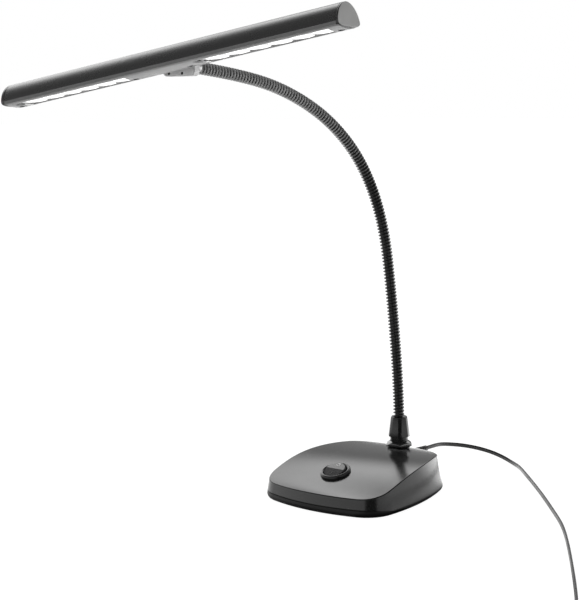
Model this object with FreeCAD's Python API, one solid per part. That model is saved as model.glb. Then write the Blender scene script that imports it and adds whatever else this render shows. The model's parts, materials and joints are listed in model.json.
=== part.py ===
import FreeCAD, Part
import math
import os

# Desk and piano lamp: a weighted wedge base, a flexible metal neck and a slim two-window LED head.
# Millimetres. The origin is on the table under the middle of the base, +Z up, the front is -Y.

V = FreeCAD.Vector
OUT = "parts"
os.makedirs(OUT, exist_ok=True)

# ---------------------------------------------------------------- driving dimensions
# base casing, in plan a bulged trapezium
BASE_FRONT_HALF = 70.3
BASE_REAR_HALF = 57.5
BASE_FRONT_Y = -70.0
BASE_REAR_Y = 60.3
BULGE_FRONT = 14.3
BULGE_SIDE = 9.0
BULGE_REAR = 22.2
CORNER_FRONT_R = 32.0
CORNER_REAR_R = 32.0
WALL_LEAN = 0.14
CASING_WALL = 2.2
TOP_EDGE_ROUND = 0.9
# side view of the top, from the front edge to the rear edge
TOP_SWEEP = [(-84.0, 18.2), (-50.0, 26.65), (-20.0, 34.4), (20.0, 37.3), (52.0, 35.7), (84.0, 30.2)]
# how far the top falls at each of those places, this far from the middle
TOP_FALL_HALF = 60.0
TOP_FALLS = [2.5, 2.5, 2.25, 1.0, 0.2, 0.2]
BASE_LIFT = 0.25
TRAY_FRONT_HEIGHT = 7.4
TRAY_SIDE_HEIGHT = 3.0
TRAY_STEP_START_Y = -64.0
TRAY_STEP_END_Y = -34.0
TRAY_PLATE = 2.4
BASE_EDGE_ROUND = 4.5
SEAM = 0.2
# feet, screws and ballast
FOOT_R = 6.0
FOOT_SINK = 1.2
FOOT_FRONT = (52.0, -56.0)
FOOT_REAR = (42.0, 56.0)
BOSS_R = 4.2
BOSS_FRONT = (54.0, -34.0)
BOSS_REAR = (50.0, 38.0)
BASE_SCREW_R = 1.5
BASE_SCREW_HEAD_R = 2.9
BASE_SCREW_HEAD_H = 1.6
BASE_SCREW_LENGTH = 12.0
BALLAST_HALF = 42.0
BALLAST_FRONT_Y = -22.0
BALLAST_REAR_Y = 61.0
BALLAST_H = 8.0
BOARD_LENGTH = 58.0
BOARD_DEPTH = 36.0
BOARD_Y = 18.0
BOARD_THICK = 1.6
SPACER_H = 5.0
SPACER_R = 2.6
# round rocker switch
SWITCH_Y = -41.0
BEZEL_R = 14.8
BEZEL_H = 3.4
BEZEL_SINK = 0.4
BARREL_R = 12.6
BEZEL_ROUND = 1.3
BARREL_DEPTH = 15.0
SWITCH_WELL_R = 11.4
SWITCH_WELL_DEPTH = 11.0
ROCKER_R = 10.9
ROCKER_RIDGE = 1.2
ROCKER_FRONT_DEG = 16.0
ROCKER_REAR_DEG = 5.0
ROCKER_UNDER = 6.0
PIVOT_R = 1.2
PIVOT_DEPTH = 0.2
RUNNING_GAP = 0.05
TERMINAL_WIDTH = 4.8
TERMINAL_THICK = 0.8
TERMINAL_LENGTH = 7.0
TERMINAL_SPACING = 10.0
# neck fittings
NECK_Y = 63.6
SEAT_Z = 34.6
NUT_HEX_R = 13.0
NUT_H = 6.7
BUSH_COLLAR_R = 9.0
BUSH_COLLAR_H = 4.8
STUD_R = 5.9
STUD_DEPTH = 7.4
STUD_BORE_R = 3.4
LOCK_NUT_HEX_R = 8.8
LOCK_NUT_H = 3.0
WASHER_R = 9.0
WASHER_THICK = 1.2
COLLAR_H = 20.2
COLLAR_BASE_HEX_R = 11.6
COLLAR_TOP_HEX_R = 9.3
COLLAR_FACING_DEG = -51.0
# gooseneck: reach from the neck axis and height, in an upright plane turned about +Z
NECK_HEADING_DEG = -8.0
NECK_TUBE_R = 5.15
NECK_BORE_R = 3.0
BALL_R = 5.0
BALL_GAP = 0.3
NECK_ROUTE = [
    (0.0, 98.0),
    (7.6, 193.6),
    (20.1, 263.9),
    (48.6, 322.5),
    (91.7, 364.7),
    (148.1, 393.3),
    (205.3, 407.2),
]
NECK_END = (254.0, 413.2)
ARC_SHARE = 0.45
# head: its own frame has the length along x, the rear side +y and the top +z
HEAD_PLACE = (-36.3, -217.2, 412.1)
HEAD_YAW_DEG = 7.45
HEAD_TILT_DEG = 9.5
HEAD_ROLL_DEG = -1.8
HEAD_LENGTH = 358.0
HEAD_WIDTH = 34.6
HEAD_HEIGHT = 19.0
HEAD_WALL = 1.1
SKIRT_H = 2.85
DOME_POWER = 1.6
CAP_THICK = 2.0
CAP_SEAM = 0.15
COVER_SEAM = 0.2
COVER_SAG = 2.7
COVER_TOP = 1.6
COVER_THICK = 1.5
LEDGE_W = 1.6
LEDGE_H = 1.0
WINDOW_LEFT_INSET = 15.8
WINDOW_LEFT_INNER = -41.4
WINDOW_RIGHT_INNER = 39.8
WINDOW_RIGHT_INSET = 13.1
WINDOW_HALF = 12.0
CELLS = 6
CELL_RIM = 0.4
CELL_THROAT_R = 3.9
REFLECTOR_BOTTOM = -0.6
REFLECTOR_TOP = 8.3
FIT = 0.3
LED_BOARD_HALF = 12.6
LED_BOARD_THICK = 1.2
LED_SIZE = 5.0
LED_H = 1.3
END_SCREW_INSET = 7.5
INNER_SCREW_X = (-36.9, 24.0)
SCREW_WELL_R = 3.1
COVER_SCREW_R = 1.2
COVER_SCREW_HEAD_R = 2.8
COVER_SCREW_HEAD_H = 1.4
COVER_SCREW_LENGTH = 8.0
SCREW_POST_R = 3.2
# swivel between the neck and the head, in a level frame at the pivot
SWIVEL_X = -7.0
SWIVEL_Z = 4.6
SWIVEL_GAP = 0.6
BRACKET_LEFT = 14.0
BRACKET_RIGHT = 20.5
BRACKET_BELOW = 9.3
BRACKET_ABOVE = 5.0
BRACKET_DEPTH = 8.0
BRACKET_CORNER = 4.5
SWIVEL_PIN_R = 2.0
SWIVEL_PIN_INSIDE = 4.4
SWIVEL_NUT_R = 2.9
SWIVEL_NUT_THICK = 2.2
FERRULE_R = 5.6
FERRULE_LENGTH = 11.0
BRACKET_SCREW_R = 1.3
BRACKET_SCREW_PLACES = (-7.0, 7.0)
BRACKET_SCREW_DROP = -6.9
# mains cord, laid on the table, and its plug
CORD_D = 4.2
CORD_EXIT_X = 0.0
CORD_EXIT_Z = 24.0
RELIEF_R = 4.2
RELIEF_TIP_R = 2.9
RELIEF_LENGTH = 32.4
RELIEF_FLANGE_R = 6.0
RELIEF_FLANGE = 2.0
RELIEF_SETBACK = 0.9
LYING = CORD_D / 2
CORD_ROUTE = [
    (0.0, 125.5, 24.0),
    (-1.6, 141.5, 22.4),
    (1.0, 157.0, 19.6),
    (8.2, 170.8, 16.7),
    (19.2, 181.4, 13.3),
    (33.0, 187.4, 9.5),
    (47.0, 187.6, 5.8),
    (60.6, 183.4, 2.6),
    (73.6, 174.6, LYING),
    (90.5, 156.6, LYING),
    (116.7, 128.2, LYING),
    (150.6, 90.1, LYING),
    (186.3, 48.0, LYING),
    (211.2, 18.1, LYING),
    (229.0, -6.6, LYING),
    (250.0, -38.2, LYING),
    (277.0, -80.8, LYING),
    (305.0, -125.9, LYING),
    (331.0, -169.5, LYING),
]
CORD_END = (358.5, -224.5, LYING)
COIL_MID_R = 24.0
COIL_STRANDS_WIDE = 4
COIL_STRANDS_HIGH = 2
PLUG_LEAVE_DEG = -62.0
PLUG_BODY_LENGTH = 37.0
PLUG_BODY_WIDTH = 26.0
PLUG_BODY_THICK = 13.7
PLUG_BOOT_LENGTH = 22.0
PLUG_CORD = 34.0
PIN_R = 2.0
PIN_LENGTH = 19.0
PIN_SPACING = 18.6

# blocks that only cut or trim: wider and taller than the base
TRIM_WIDTH = 200.0
TALL = 60.0


# ---------------------------------------------------------------- helpers
def save(name, shape):
    shape.exportStep(OUT + "/" + name + ".step")


def group(shapes):
    return Part.makeCompound(shapes)


def hexagon(radius, z, first_deg, x=0.0, y=0.0):
    corners = []
    for k in range(7):
        a = math.radians(first_deg + 60.0 * k)
        corners.append(V(x + radius * math.cos(a), y + radius * math.sin(a), z))
    return Part.makePolygon(corners)


def hex_prism(radius, height, z, first_deg, x=0.0, y=0.0):
    return Part.Face(hexagon(radius, z, first_deg, x, y)).extrude(V(0, 0, height))


def ring_frame(origin, x_axis, y_axis, z_axis):
    m = FreeCAD.Matrix(
        x_axis.x, y_axis.x, z_axis.x, origin.x,
        x_axis.y, y_axis.y, z_axis.y, origin.y,
        x_axis.z, y_axis.z, z_axis.z, origin.z,
        0, 0, 0, 1,
    )  # fmt: skip
    return FreeCAD.Placement(m)


def placed(shape, placement):
    copy = shape.copy()
    copy.Placement = placement.multiply(copy.Placement)
    return copy


def along(points, number):
    """Where the tangent arc at one inner point starts and ends, its middle and its radius."""
    before, here, after = points[number - 1], points[number], points[number + 1]
    into = (here - before).normalize()
    out = (after - here).normalize()
    half = into.getAngle(out) / 2
    reach = ARC_SHARE * min((here - before).Length, (after - here).Length)
    radius = reach / math.tan(half)
    inward = (out - into).normalize()
    middle = here + inward * (radius / math.cos(half) - radius)
    return here - into * reach, middle, here + out * reach, radius


def route_edges(points):
    """Straight runs joined by tangent arcs, and the arcs' radii."""
    edges, radii = [], []
    last = points[0]
    for number in range(1, len(points) - 1):
        start, middle, end, radius = along(points, number)
        edges.append(Part.LineSegment(last, start).toShape())
        edges.append(Part.Arc(start, middle, end).toShape())
        radii.append(radius)
        last = end
    edges.append(Part.LineSegment(last, points[-1]).toShape())
    return edges, radii


def tube(points, radius):
    """A round solid that follows a route."""
    edges, radii = route_edges(points)
    path = Part.Wire(edges)
    direction = points[1] - points[0]
    ring = Part.Wire([Part.makeCircle(radius, points[0], direction)])
    solid = path.makePipeShell([ring], True, False)
    return solid, path.Length, radii


def cylinder(radius, length, start, direction):
    return Part.makeCylinder(radius, length, start, direction)


# ---------------------------------------------------------------- base
def base_outline(inset, z):
    """Four bulged sides at a height, each an arc."""
    fx, rx = BASE_FRONT_HALF - inset, BASE_REAR_HALF - inset
    fy, ry = BASE_FRONT_Y + inset, BASE_REAR_Y - inset
    side_mid_x = (fx + rx) / 2 + BULGE_SIDE
    side_mid_y = (fy + ry) / 2
    front = Part.Arc(V(-fx, fy, z), V(0, fy - BULGE_FRONT, z), V(fx, fy, z))
    right = Part.Arc(V(fx, fy, z), V(side_mid_x, side_mid_y, z), V(rx, ry, z))
    rear = Part.Arc(V(rx, ry, z), V(0, ry + BULGE_REAR, z), V(-rx, ry, z))
    left = Part.Arc(V(-rx, ry, z), V(-side_mid_x, side_mid_y, z), V(-fx, fy, z))
    return Part.Wire([arc.toShape() for arc in (front, right, rear, left)])


def rounded_outline(inset, z):
    """The bulged outline with its four corners rounded."""
    slab = Part.Face(base_outline(inset, z)).extrude(V(0, 0, 1))
    for radius, front in ((CORNER_FRONT_R, True), (CORNER_REAR_R, False)):
        corners = []
        for edge in slab.Edges:
            box = edge.BoundBox
            if box.ZLength > 0.9 and box.XLength + box.YLength < 0.1 and (box.YMin < 0) == front:
                corners.append(edge)
        slab = slab.makeFillet(radius - inset, corners)
    lowest = min(slab.Faces, key=lambda face: face.CenterOfMass.z)
    return lowest.OuterWire


def base_block(inset, low, high):
    """The casing's leaning block between two heights."""
    wires = [rounded_outline(inset + z * WALL_LEAN, z) for z in (low, high)]
    return Part.makeLoft(wires, True, True)


def base_body():
    """The base's outer shape: leaning walls, round at the bottom, up to the top sweep."""
    block = base_block(0.0, BASE_LIFT, BLOCK_TOP)
    bottom = min(block.Faces, key=lambda face: face.CenterOfMass.z)
    return block.makeFillet(BASE_EDGE_ROUND, bottom.OuterWire.Edges).common(under_top(0.0))


def under_top(drop):
    """Everything below the top, lowered by the drop: a sweep that is crowned across the base."""
    side, floor = TRIM_WIDTH / 2, -10.0
    sections = []
    for (y, middle), fall in zip(TOP_SWEEP, TOP_FALLS):
        high = middle - drop
        low = high - fall * (side / TOP_FALL_HALF) ** 2
        crown = Part.Arc(V(-side, y, low), V(0, y, high), V(side, y, low))
        foot = Part.makePolygon([V(side, y, low), V(side, y, floor), V(-side, y, floor), V(-side, y, low)])
        sections.append(Part.Wire([crown.toShape()] + foot.Edges))
    return Part.makeLoft(sections, True, False)


def under_seam(drop):
    """The tray's share of the side walls: high at the front, stepping down along the sides."""
    side = TRIM_WIDTH / 2
    high, low = TRAY_FRONT_HEIGHT - drop, TRAY_SIDE_HEIGHT - drop
    points = [
        V(-side, -side, -10.0),
        V(-side, -side, high),
        V(-side, TRAY_STEP_START_Y, high),
        V(-side, TRAY_STEP_END_Y, low),
        V(-side, side, low),
        V(-side, side, -10.0),
        V(-side, -side, -10.0),
    ]
    return Part.Face(Part.makePolygon(points)).extrude(V(TRIM_WIDTH, 0, 0))


def top_height(y):
    """The height of the middle of the top at a distance from the neck's side."""
    upright = under_top(0.0).common(Part.makeLine(V(0, y, 0), V(0, y, TALL)))
    return max(vertex.Z for vertex in upright.Vertexes)


SWITCH_Z = top_height(SWITCH_Y) - BEZEL_SINK
SWITCH_LEAN_DEG = math.degrees(
    math.atan2(top_height(SWITCH_Y + 1.0) - top_height(SWITCH_Y - 1.0), 2.0)
)
SWITCH_FRAME = FreeCAD.Placement(
    V(0, SWITCH_Y, SWITCH_Z), FreeCAD.Rotation(V(1, 0, 0), SWITCH_LEAN_DEG)
)
BOSS_PLACES = [(s * x, y) for x, y in (BOSS_FRONT, BOSS_REAR) for s in (-1, 1)]
FOOT_PLACES = [(s * x, y) for x, y in (FOOT_FRONT, FOOT_REAR) for s in (-1, 1)]
TRAY_FLOOR = BASE_LIFT + TRAY_PLATE
BLOCK_TOP = max(z for y, z in TOP_SWEEP) + TOP_EDGE_ROUND
REAR_WALL_Y = BASE_REAR_Y + BULGE_REAR - CORD_EXIT_Z * WALL_LEAN
REAR_WALL_AT_CORD = REAR_WALL_Y - BULGE_REAR * (CORD_EXIT_X / BASE_REAR_HALF) ** 2


def base_cover():
    outer = base_body()
    top = max(outer.Faces, key=lambda face: face.CenterOfMass.z)
    outer = outer.makeFillet(TOP_EDGE_ROUND, top.OuterWire.Edges).cut(under_seam(0.0))
    hollow = base_block(CASING_WALL, 0.0, BLOCK_TOP).common(under_top(CASING_WALL))
    shell = outer.cut(hollow)
    bosses = []
    for x, y in BOSS_PLACES:
        post = cylinder(BOSS_R, TALL, V(x, y, TRAY_FLOOR + SEAM), V(0, 0, 1))
        bosses.append(post.common(base_block(0.5, 0.0, BLOCK_TOP)).common(under_top(0.5)))
    shell = shell.fuse(bosses)
    for x, y in BOSS_PLACES:
        bore = cylinder(BASE_SCREW_R + RUNNING_GAP, BASE_SCREW_LENGTH + 1, V(x, y, 0), V(0, 0, 1))
        shell = shell.cut(bore)
    switch_hole = cylinder(BARREL_R + SEAM, 30.0, V(0, 0, -15.0), V(0, 0, 1))
    bezel_seat = cylinder(BEZEL_R + SEAM, BEZEL_H, V(0, 0, 0), V(0, 0, 1))
    shell = shell.cut(placed(switch_hole.fuse(bezel_seat), SWITCH_FRAME))
    seat = cylinder(NUT_HEX_R + 0.5, TALL, V(0, NECK_Y, SEAT_Z), V(0, 0, 1))
    stud_hole = cylinder(STUD_R + SEAM, TALL, V(0, NECK_Y, SEAT_Z - 20), V(0, 0, 1))
    pad = cylinder(WASHER_R + 1.5, SEAT_Z - CASING_WALL - 28.0, V(0, NECK_Y, 28.0), V(0, 0, 1))
    lower = cylinder(WASHER_R + 1.5, CASING_WALL, V(0, NECK_Y, SEAT_Z - CASING_WALL), V(0, 0, 1))
    shell = shell.fuse(lower).cut(pad).cut(seat).cut(stud_hole)
    cord_hole = cylinder(
        RELIEF_R + SEAM, 30.0, V(CORD_EXIT_X, REAR_WALL_AT_CORD - 15, CORD_EXIT_Z), V(0, 1, 0)
    )
    return shell.cut(cord_hole).removeSplitter()


def base_tray():
    body = base_body()
    lip = body.common(under_seam(SEAM))
    plate = base_block(CASING_WALL + FIT, BASE_LIFT, TRAY_FLOOR).common(body)
    pocket = base_block(CASING_WALL + FIT, TRAY_FLOOR, BLOCK_TOP)
    tray = lip.fuse(plate).cut(pocket)
    for x, y in FOOT_PLACES:
        tray = tray.cut(cylinder(FOOT_R + SEAM, BASE_LIFT + FOOT_SINK, V(x, y, 0), V(0, 0, 1)))
    for x, y in BOSS_PLACES:
        tray = tray.cut(cylinder(BASE_SCREW_R + SEAM, 10, V(x, y, 0), V(0, 0, 1)))
        head = cylinder(BASE_SCREW_HEAD_R + SEAM, BASE_SCREW_HEAD_H, V(x, y, BASE_LIFT), V(0, 0, 1))
        tray = tray.cut(head)
    return tray.removeSplitter()


def rubber_feet():
    feet = []
    for x, y in FOOT_PLACES:
        foot = cylinder(FOOT_R, BASE_LIFT + FOOT_SINK, V(x, y, 0), V(0, 0, 1))
        feet.append(foot.makeChamfer(0.35, [foot.Edges[2]]))
    return group(feet)


def base_screws():
    screws = []
    for x, y in BOSS_PLACES:
        head = cylinder(BASE_SCREW_HEAD_R, BASE_SCREW_HEAD_H, V(x, y, BASE_LIFT), V(0, 0, 1))
        shank = cylinder(BASE_SCREW_R, BASE_SCREW_LENGTH - BASE_LIFT, V(x, y, BASE_LIFT), V(0, 0, 1))
        slot_a = Part.makeBox(3.6, 0.8, 0.9, V(x - 1.8, y - 0.4, BASE_LIFT))
        slot_b = Part.makeBox(0.8, 3.6, 0.9, V(x - 0.4, y - 1.8, BASE_LIFT))
        screws.append(head.fuse(shank).cut(slot_a).cut(slot_b).removeSplitter())
    return group(screws)


def ballast():
    depth = BALLAST_REAR_Y - BALLAST_FRONT_Y
    block = Part.makeBox(
        2 * BALLAST_HALF, depth, BALLAST_H, V(-BALLAST_HALF, BALLAST_FRONT_Y, TRAY_FLOOR)
    )
    corners = [e for e in block.Edges if abs(e.Vertexes[0].Z - e.Vertexes[1].Z) > 1]
    return block.makeFillet(6.0, corners)


def circuit_spacers():
    z = TRAY_FLOOR + BALLAST_H
    posts = []
    for x in (-BOARD_LENGTH / 2 + 4, BOARD_LENGTH / 2 - 4):
        for y in (BOARD_Y - BOARD_DEPTH / 2 + 4, BOARD_Y + BOARD_DEPTH / 2 - 4):
            posts.append(hex_prism(SPACER_R, SPACER_H, z, 0, x, y))
    return group(posts)


def power_board():
    z = TRAY_FLOOR + BALLAST_H + SPACER_H
    corner = V(-BOARD_LENGTH / 2, BOARD_Y - BOARD_DEPTH / 2, z)
    board = Part.makeBox(BOARD_LENGTH, BOARD_DEPTH, BOARD_THICK, corner)
    coil_core = Part.makeBox(16, 14, 8, V(-8, BOARD_Y - 7, z + BOARD_THICK))
    can = cylinder(4, 9, V(18, BOARD_Y, z + BOARD_THICK), V(0, 0, 1))
    chip = Part.makeBox(8, 6, 2, V(-24, BOARD_Y - 3, z + BOARD_THICK))
    return board.fuse([coil_core, can, chip]).removeSplitter()


# ---------------------------------------------------------------- switch, in its own leaning frame
def switch_housing():
    bezel = cylinder(BEZEL_R, BEZEL_H, V(0, 0, 0), V(0, 0, 1))
    bezel = bezel.makeFillet(BEZEL_ROUND, [e for e in bezel.Edges if e.BoundBox.ZMin > BEZEL_H - 0.1])
    barrel = cylinder(BARREL_R, BARREL_DEPTH, V(0, 0, -BARREL_DEPTH), V(0, 0, 1))
    well = cylinder(SWITCH_WELL_R, SWITCH_WELL_DEPTH + 10, V(0, 0, -SWITCH_WELL_DEPTH), V(0, 0, 1))
    pivot = cylinder(PIVOT_R, 2 * BARREL_R - 1, V(-BARREL_R + 0.5, 0, -PIVOT_DEPTH), V(1, 0, 0))
    body = bezel.fuse(barrel).cut(well).cut(pivot)
    for x in (-TERMINAL_SPACING / 2, TERMINAL_SPACING / 2):
        slot = Part.makeBox(
            TERMINAL_THICK, TERMINAL_WIDTH, 6, V(x - TERMINAL_THICK / 2, -TERMINAL_WIDTH / 2, -17)
        )
        body = body.cut(slot)
    return placed(body.removeSplitter(), SWITCH_FRAME)


def switch_rocker():
    """Two faces that meet in a ridge: the rear one stands proud and the front one is pressed in."""
    reach = ROCKER_R + 1
    ridge = BEZEL_H + ROCKER_RIDGE
    profile = [
        V(0, -reach, ridge - reach * math.tan(math.radians(ROCKER_FRONT_DEG))),
        V(0, 0, ridge),
        V(0, reach, ridge + reach * math.tan(math.radians(ROCKER_REAR_DEG))),
        V(0, reach, -ROCKER_UNDER),
        V(0, -reach, -ROCKER_UNDER),
        V(0, -reach, ridge - reach * math.tan(math.radians(ROCKER_FRONT_DEG))),
    ]
    wedge = Part.Face(Part.makePolygon(profile)).extrude(V(2 * reach, 0, 0))
    wedge.translate(V(-reach, 0, 0))
    disc = cylinder(ROCKER_R, 2 * reach, V(0, 0, -reach), V(0, 0, 1))
    # no corner is further from the pivot than the well's wall
    ball = Part.makeSphere(SWITCH_WELL_R - FIT, V(0, 0, -PIVOT_DEPTH))
    bore = cylinder(PIVOT_R + RUNNING_GAP, 4 * reach, V(-2 * reach, 0, -PIVOT_DEPTH), V(1, 0, 0))
    rocker = wedge.common(disc).common(ball).cut(bore)
    return placed(rocker.removeSplitter(), SWITCH_FRAME)


def switch_pivot():
    pin = cylinder(PIVOT_R, 2 * BARREL_R - 1, V(-BARREL_R + 0.5, 0, -PIVOT_DEPTH), V(1, 0, 0))
    return placed(pin, SWITCH_FRAME)


def switch_terminals():
    blades = []
    for x in (-TERMINAL_SPACING / 2, TERMINAL_SPACING / 2):
        low = V(x - TERMINAL_THICK / 2, -TERMINAL_WIDTH / 2, -12.6 - TERMINAL_LENGTH)
        blades.append(Part.makeBox(TERMINAL_THICK, TERMINAL_WIDTH, TERMINAL_LENGTH, low))
    return placed(group(blades), SWITCH_FRAME)


# ---------------------------------------------------------------- neck fittings
def neck_nut():
    prism = hex_prism(NUT_HEX_R, NUT_H, SEAT_Z, COLLAR_FACING_DEG, 0, NECK_Y)
    cone_low = Part.makeCone(NUT_HEX_R + 1.2, BUSH_COLLAR_R + 0.6, NUT_H - 2.6, V(0, NECK_Y, SEAT_Z + 2.6))
    drum = cylinder(NUT_HEX_R + 1.2, 2.6, V(0, NECK_Y, SEAT_Z), V(0, 0, 1))
    bore = cylinder(STUD_R, 20, V(0, NECK_Y, SEAT_Z - 1), V(0, 0, 1))
    return prism.common(drum.fuse(cone_low)).cut(bore).removeSplitter()


def neck_bush():
    z = SEAT_Z + NUT_H
    collar = cylinder(BUSH_COLLAR_R, BUSH_COLLAR_H, V(0, NECK_Y, z), V(0, 0, 1))
    stud = cylinder(STUD_R, NUT_H + STUD_DEPTH, V(0, NECK_Y, z - NUT_H - STUD_DEPTH), V(0, 0, 1))
    bore = cylinder(STUD_BORE_R, TALL, V(0, NECK_Y, 0), V(0, 0, 1))
    return collar.fuse(stud).cut(bore).removeSplitter()


UNDER_SEAT_Z = SEAT_Z - CASING_WALL


def neck_washer():
    z = UNDER_SEAT_Z - WASHER_THICK
    disc = cylinder(WASHER_R, WASHER_THICK, V(0, NECK_Y, z), V(0, 0, 1))
    return disc.cut(cylinder(STUD_R + SEAM, 10, V(0, NECK_Y, z - 2), V(0, 0, 1)))


def neck_lock_nut():
    z = UNDER_SEAT_Z - WASHER_THICK - LOCK_NUT_H
    nut = hex_prism(LOCK_NUT_HEX_R, LOCK_NUT_H, z, 0, 0, NECK_Y)
    return nut.cut(cylinder(STUD_R, 20, V(0, NECK_Y, z - 5), V(0, 0, 1)))


COLLAR_Z = SEAT_Z + NUT_H + BUSH_COLLAR_H


def hex_collar():
    low = hexagon(COLLAR_BASE_HEX_R, COLLAR_Z, COLLAR_FACING_DEG, 0, NECK_Y)
    high = hexagon(COLLAR_TOP_HEX_R, COLLAR_Z + COLLAR_H, COLLAR_FACING_DEG, 0, NECK_Y)
    body = Part.makeLoft([low, high], True, True)
    trim = Part.makeCone(
        COLLAR_BASE_HEX_R + 1.6, COLLAR_TOP_HEX_R - 1.0, 24.0, V(0, NECK_Y, COLLAR_Z - 0.6)
    )
    bore = cylinder(NECK_TUBE_R, TALL, V(0, NECK_Y, COLLAR_Z - 5), V(0, 0, 1))
    return body.common(trim).cut(bore).removeSplitter()


# ---------------------------------------------------------------- gooseneck
HEADING = math.radians(NECK_HEADING_DEG)
FORWARD = V(math.sin(HEADING), -math.cos(HEADING), 0)


def arm_point(reach, height):
    return V(0, NECK_Y, 0) + FORWARD * reach + V(0, 0, height)


NECK_POINTS = [arm_point(0.0, COLLAR_Z)]
NECK_POINTS += [arm_point(*pair) for pair in NECK_ROUTE]
NECK_POINTS += [arm_point(*NECK_END)]
# a bending place halfway along each inner run
BENDS = [(a + b) / 2 for a, b in zip(NECK_POINTS[1:-2], NECK_POINTS[2:-1])]


def gooseneck_span(number):
    """One stretch of the neck, cupped at its lower end and with a ball at its upper end."""
    start = BENDS[number - 1] if number else NECK_POINTS[0]
    last = number == len(BENDS)
    end = NECK_POINTS[-1] if last else BENDS[number]
    points = [start, NECK_POINTS[number + 1], end]
    outer, length, radii = tube(points, NECK_TUBE_R)
    inner = tube([start, NECK_POINTS[number + 1], end], NECK_BORE_R)[0]
    if not last:
        outer = outer.fuse(Part.makeSphere(BALL_R, end))
        drill = (end - NECK_POINTS[number + 1]).normalize()
        inner = inner.fuse(cylinder(NECK_BORE_R, BALL_R + 1, end - drill, drill))
    span = outer.cut(inner)
    if number:
        span = span.cut(Part.makeSphere(BALL_R + BALL_GAP, start))
    print("gooseneck", number + 1, "length", round(length, 1), "bend radius", round(radii[0], 1))
    return span.removeSplitter()


# ---------------------------------------------------------------- head, in its own frame
HEAD_ROTATION = (
    FreeCAD.Rotation(V(0, 0, 1), HEAD_YAW_DEG)
    .multiply(FreeCAD.Rotation(V(0, 1, 0), -HEAD_TILT_DEG))
    .multiply(FreeCAD.Rotation(V(1, 0, 0), HEAD_ROLL_DEG))
)
HEAD_FRAME = FreeCAD.Placement(V(*HEAD_PLACE), HEAD_ROTATION)


def dome_half(z, half, height):
    """Half the width of the dome at a height over its open side."""
    t = max(0.0, (z - SKIRT_H) / (height - SKIRT_H))
    return half * math.sqrt(max(0.0, 1 - t**DOME_POWER))


def dome_section(x, shrink, bottom):
    """The dome's outline across the head: upright skirts and a pointed vault."""
    half, height = HEAD_WIDTH / 2 - shrink, HEAD_HEIGHT - shrink
    steps = 7
    rear = []
    for k in range(steps + 1):
        angle = math.pi / 2 * k / steps
        z = SKIRT_H + (height - SKIRT_H) * math.sin(angle)
        rear.append(V(x, dome_half(z, half, height), z))
    front = [V(p.x, -p.y, p.z) for p in reversed(rear[:-1])]
    vault = Part.BSplineCurve()
    vault.interpolate(rear + front)
    edges = [
        Part.LineSegment(V(x, half, bottom), rear[0]).toShape(),
        vault.toShape(),
        Part.LineSegment(front[-1], V(x, -half, bottom)).toShape(),
        Part.LineSegment(V(x, -half, bottom), V(x, half, bottom)).toShape(),
    ]
    return Part.Face(Part.Wire(edges))


HOUSING_HALF = HEAD_LENGTH / 2 - CAP_THICK - CAP_SEAM
END_SCREW_X = HEAD_LENGTH / 2 - END_SCREW_INSET
SCREW_PLACES = [-END_SCREW_X, *INNER_SCREW_X, END_SCREW_X]
WINDOW_LEFT = (-HEAD_LENGTH / 2 + WINDOW_LEFT_INSET, WINDOW_LEFT_INNER)
WINDOW_RIGHT = (WINDOW_RIGHT_INNER, HEAD_LENGTH / 2 - WINDOW_RIGHT_INSET)
SWIVEL_HOLE_Y = dome_half(SWIVEL_Z, HEAD_WIDTH / 2, HEAD_HEIGHT)
BOARD_Z = REFLECTOR_TOP


def dome_block(start, length, shrink, bottom):
    return dome_section(start, shrink, bottom).extrude(V(length, 0, 0))


def head_housing():
    length = 2 * HOUSING_HALF
    outer = dome_block(-HOUSING_HALF, length, 0.0, 0.0)
    shell = outer.cut(dome_block(-HOUSING_HALF - 1, length + 2, HEAD_WALL, -1.0))
    core = dome_block(-HOUSING_HALF, length, 0.4, 0.0)
    posts = []
    for x in SCREW_PLACES:
        posts.append(cylinder(SCREW_POST_R, 30, V(x, 0, COVER_TOP), V(0, 0, 1)).common(core))
    ledges = []
    inner_half = HEAD_WIDTH / 2 - HEAD_WALL
    for side in (-1, 1):
        for low, reach in ((COVER_TOP, LEDGE_W), (BOARD_Z + LED_BOARD_THICK, 3.6)):
            near = inner_half - reach if side > 0 else -inner_half - 2
            bar = Part.makeBox(length, reach + 2, LEDGE_H, V(-HOUSING_HALF, near, low))
            ledges.append(bar.common(core))
    shell = shell.fuse(posts + ledges)
    for x in SCREW_PLACES:
        depth = COVER_SCREW_LENGTH
        shell = shell.cut(cylinder(COVER_SCREW_R + RUNNING_GAP, depth, V(x, 0, 0), V(0, 0, 1)))
    pin_hole = cylinder(
        SWIVEL_PIN_R + RUNNING_GAP, 12, V(SWIVEL_X, SWIVEL_HOLE_Y - 6, SWIVEL_Z), V(0, 1, 0)
    )
    nut_room = cylinder(
        SWIVEL_NUT_R + FIT,
        6.0,
        V(SWIVEL_X, SWIVEL_HOLE_Y - HEAD_WALL - 6.0, SWIVEL_Z),
        V(0, 1, 0),
    )
    return placed(shell.cut(pin_hole).cut(nut_room).removeSplitter(), HEAD_FRAME)


def end_cap(side):
    start = HEAD_LENGTH / 2 - CAP_THICK if side > 0 else -HEAD_LENGTH / 2
    plate = dome_block(start, CAP_THICK, 0.0, 0.0)
    rim = [e for e in plate.Edges if abs(e.CenterOfMass.x - side * HEAD_LENGTH / 2) < 0.01]
    plate = plate.makeChamfer(0.4, rim)
    return placed(plate, HEAD_FRAME)


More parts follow.
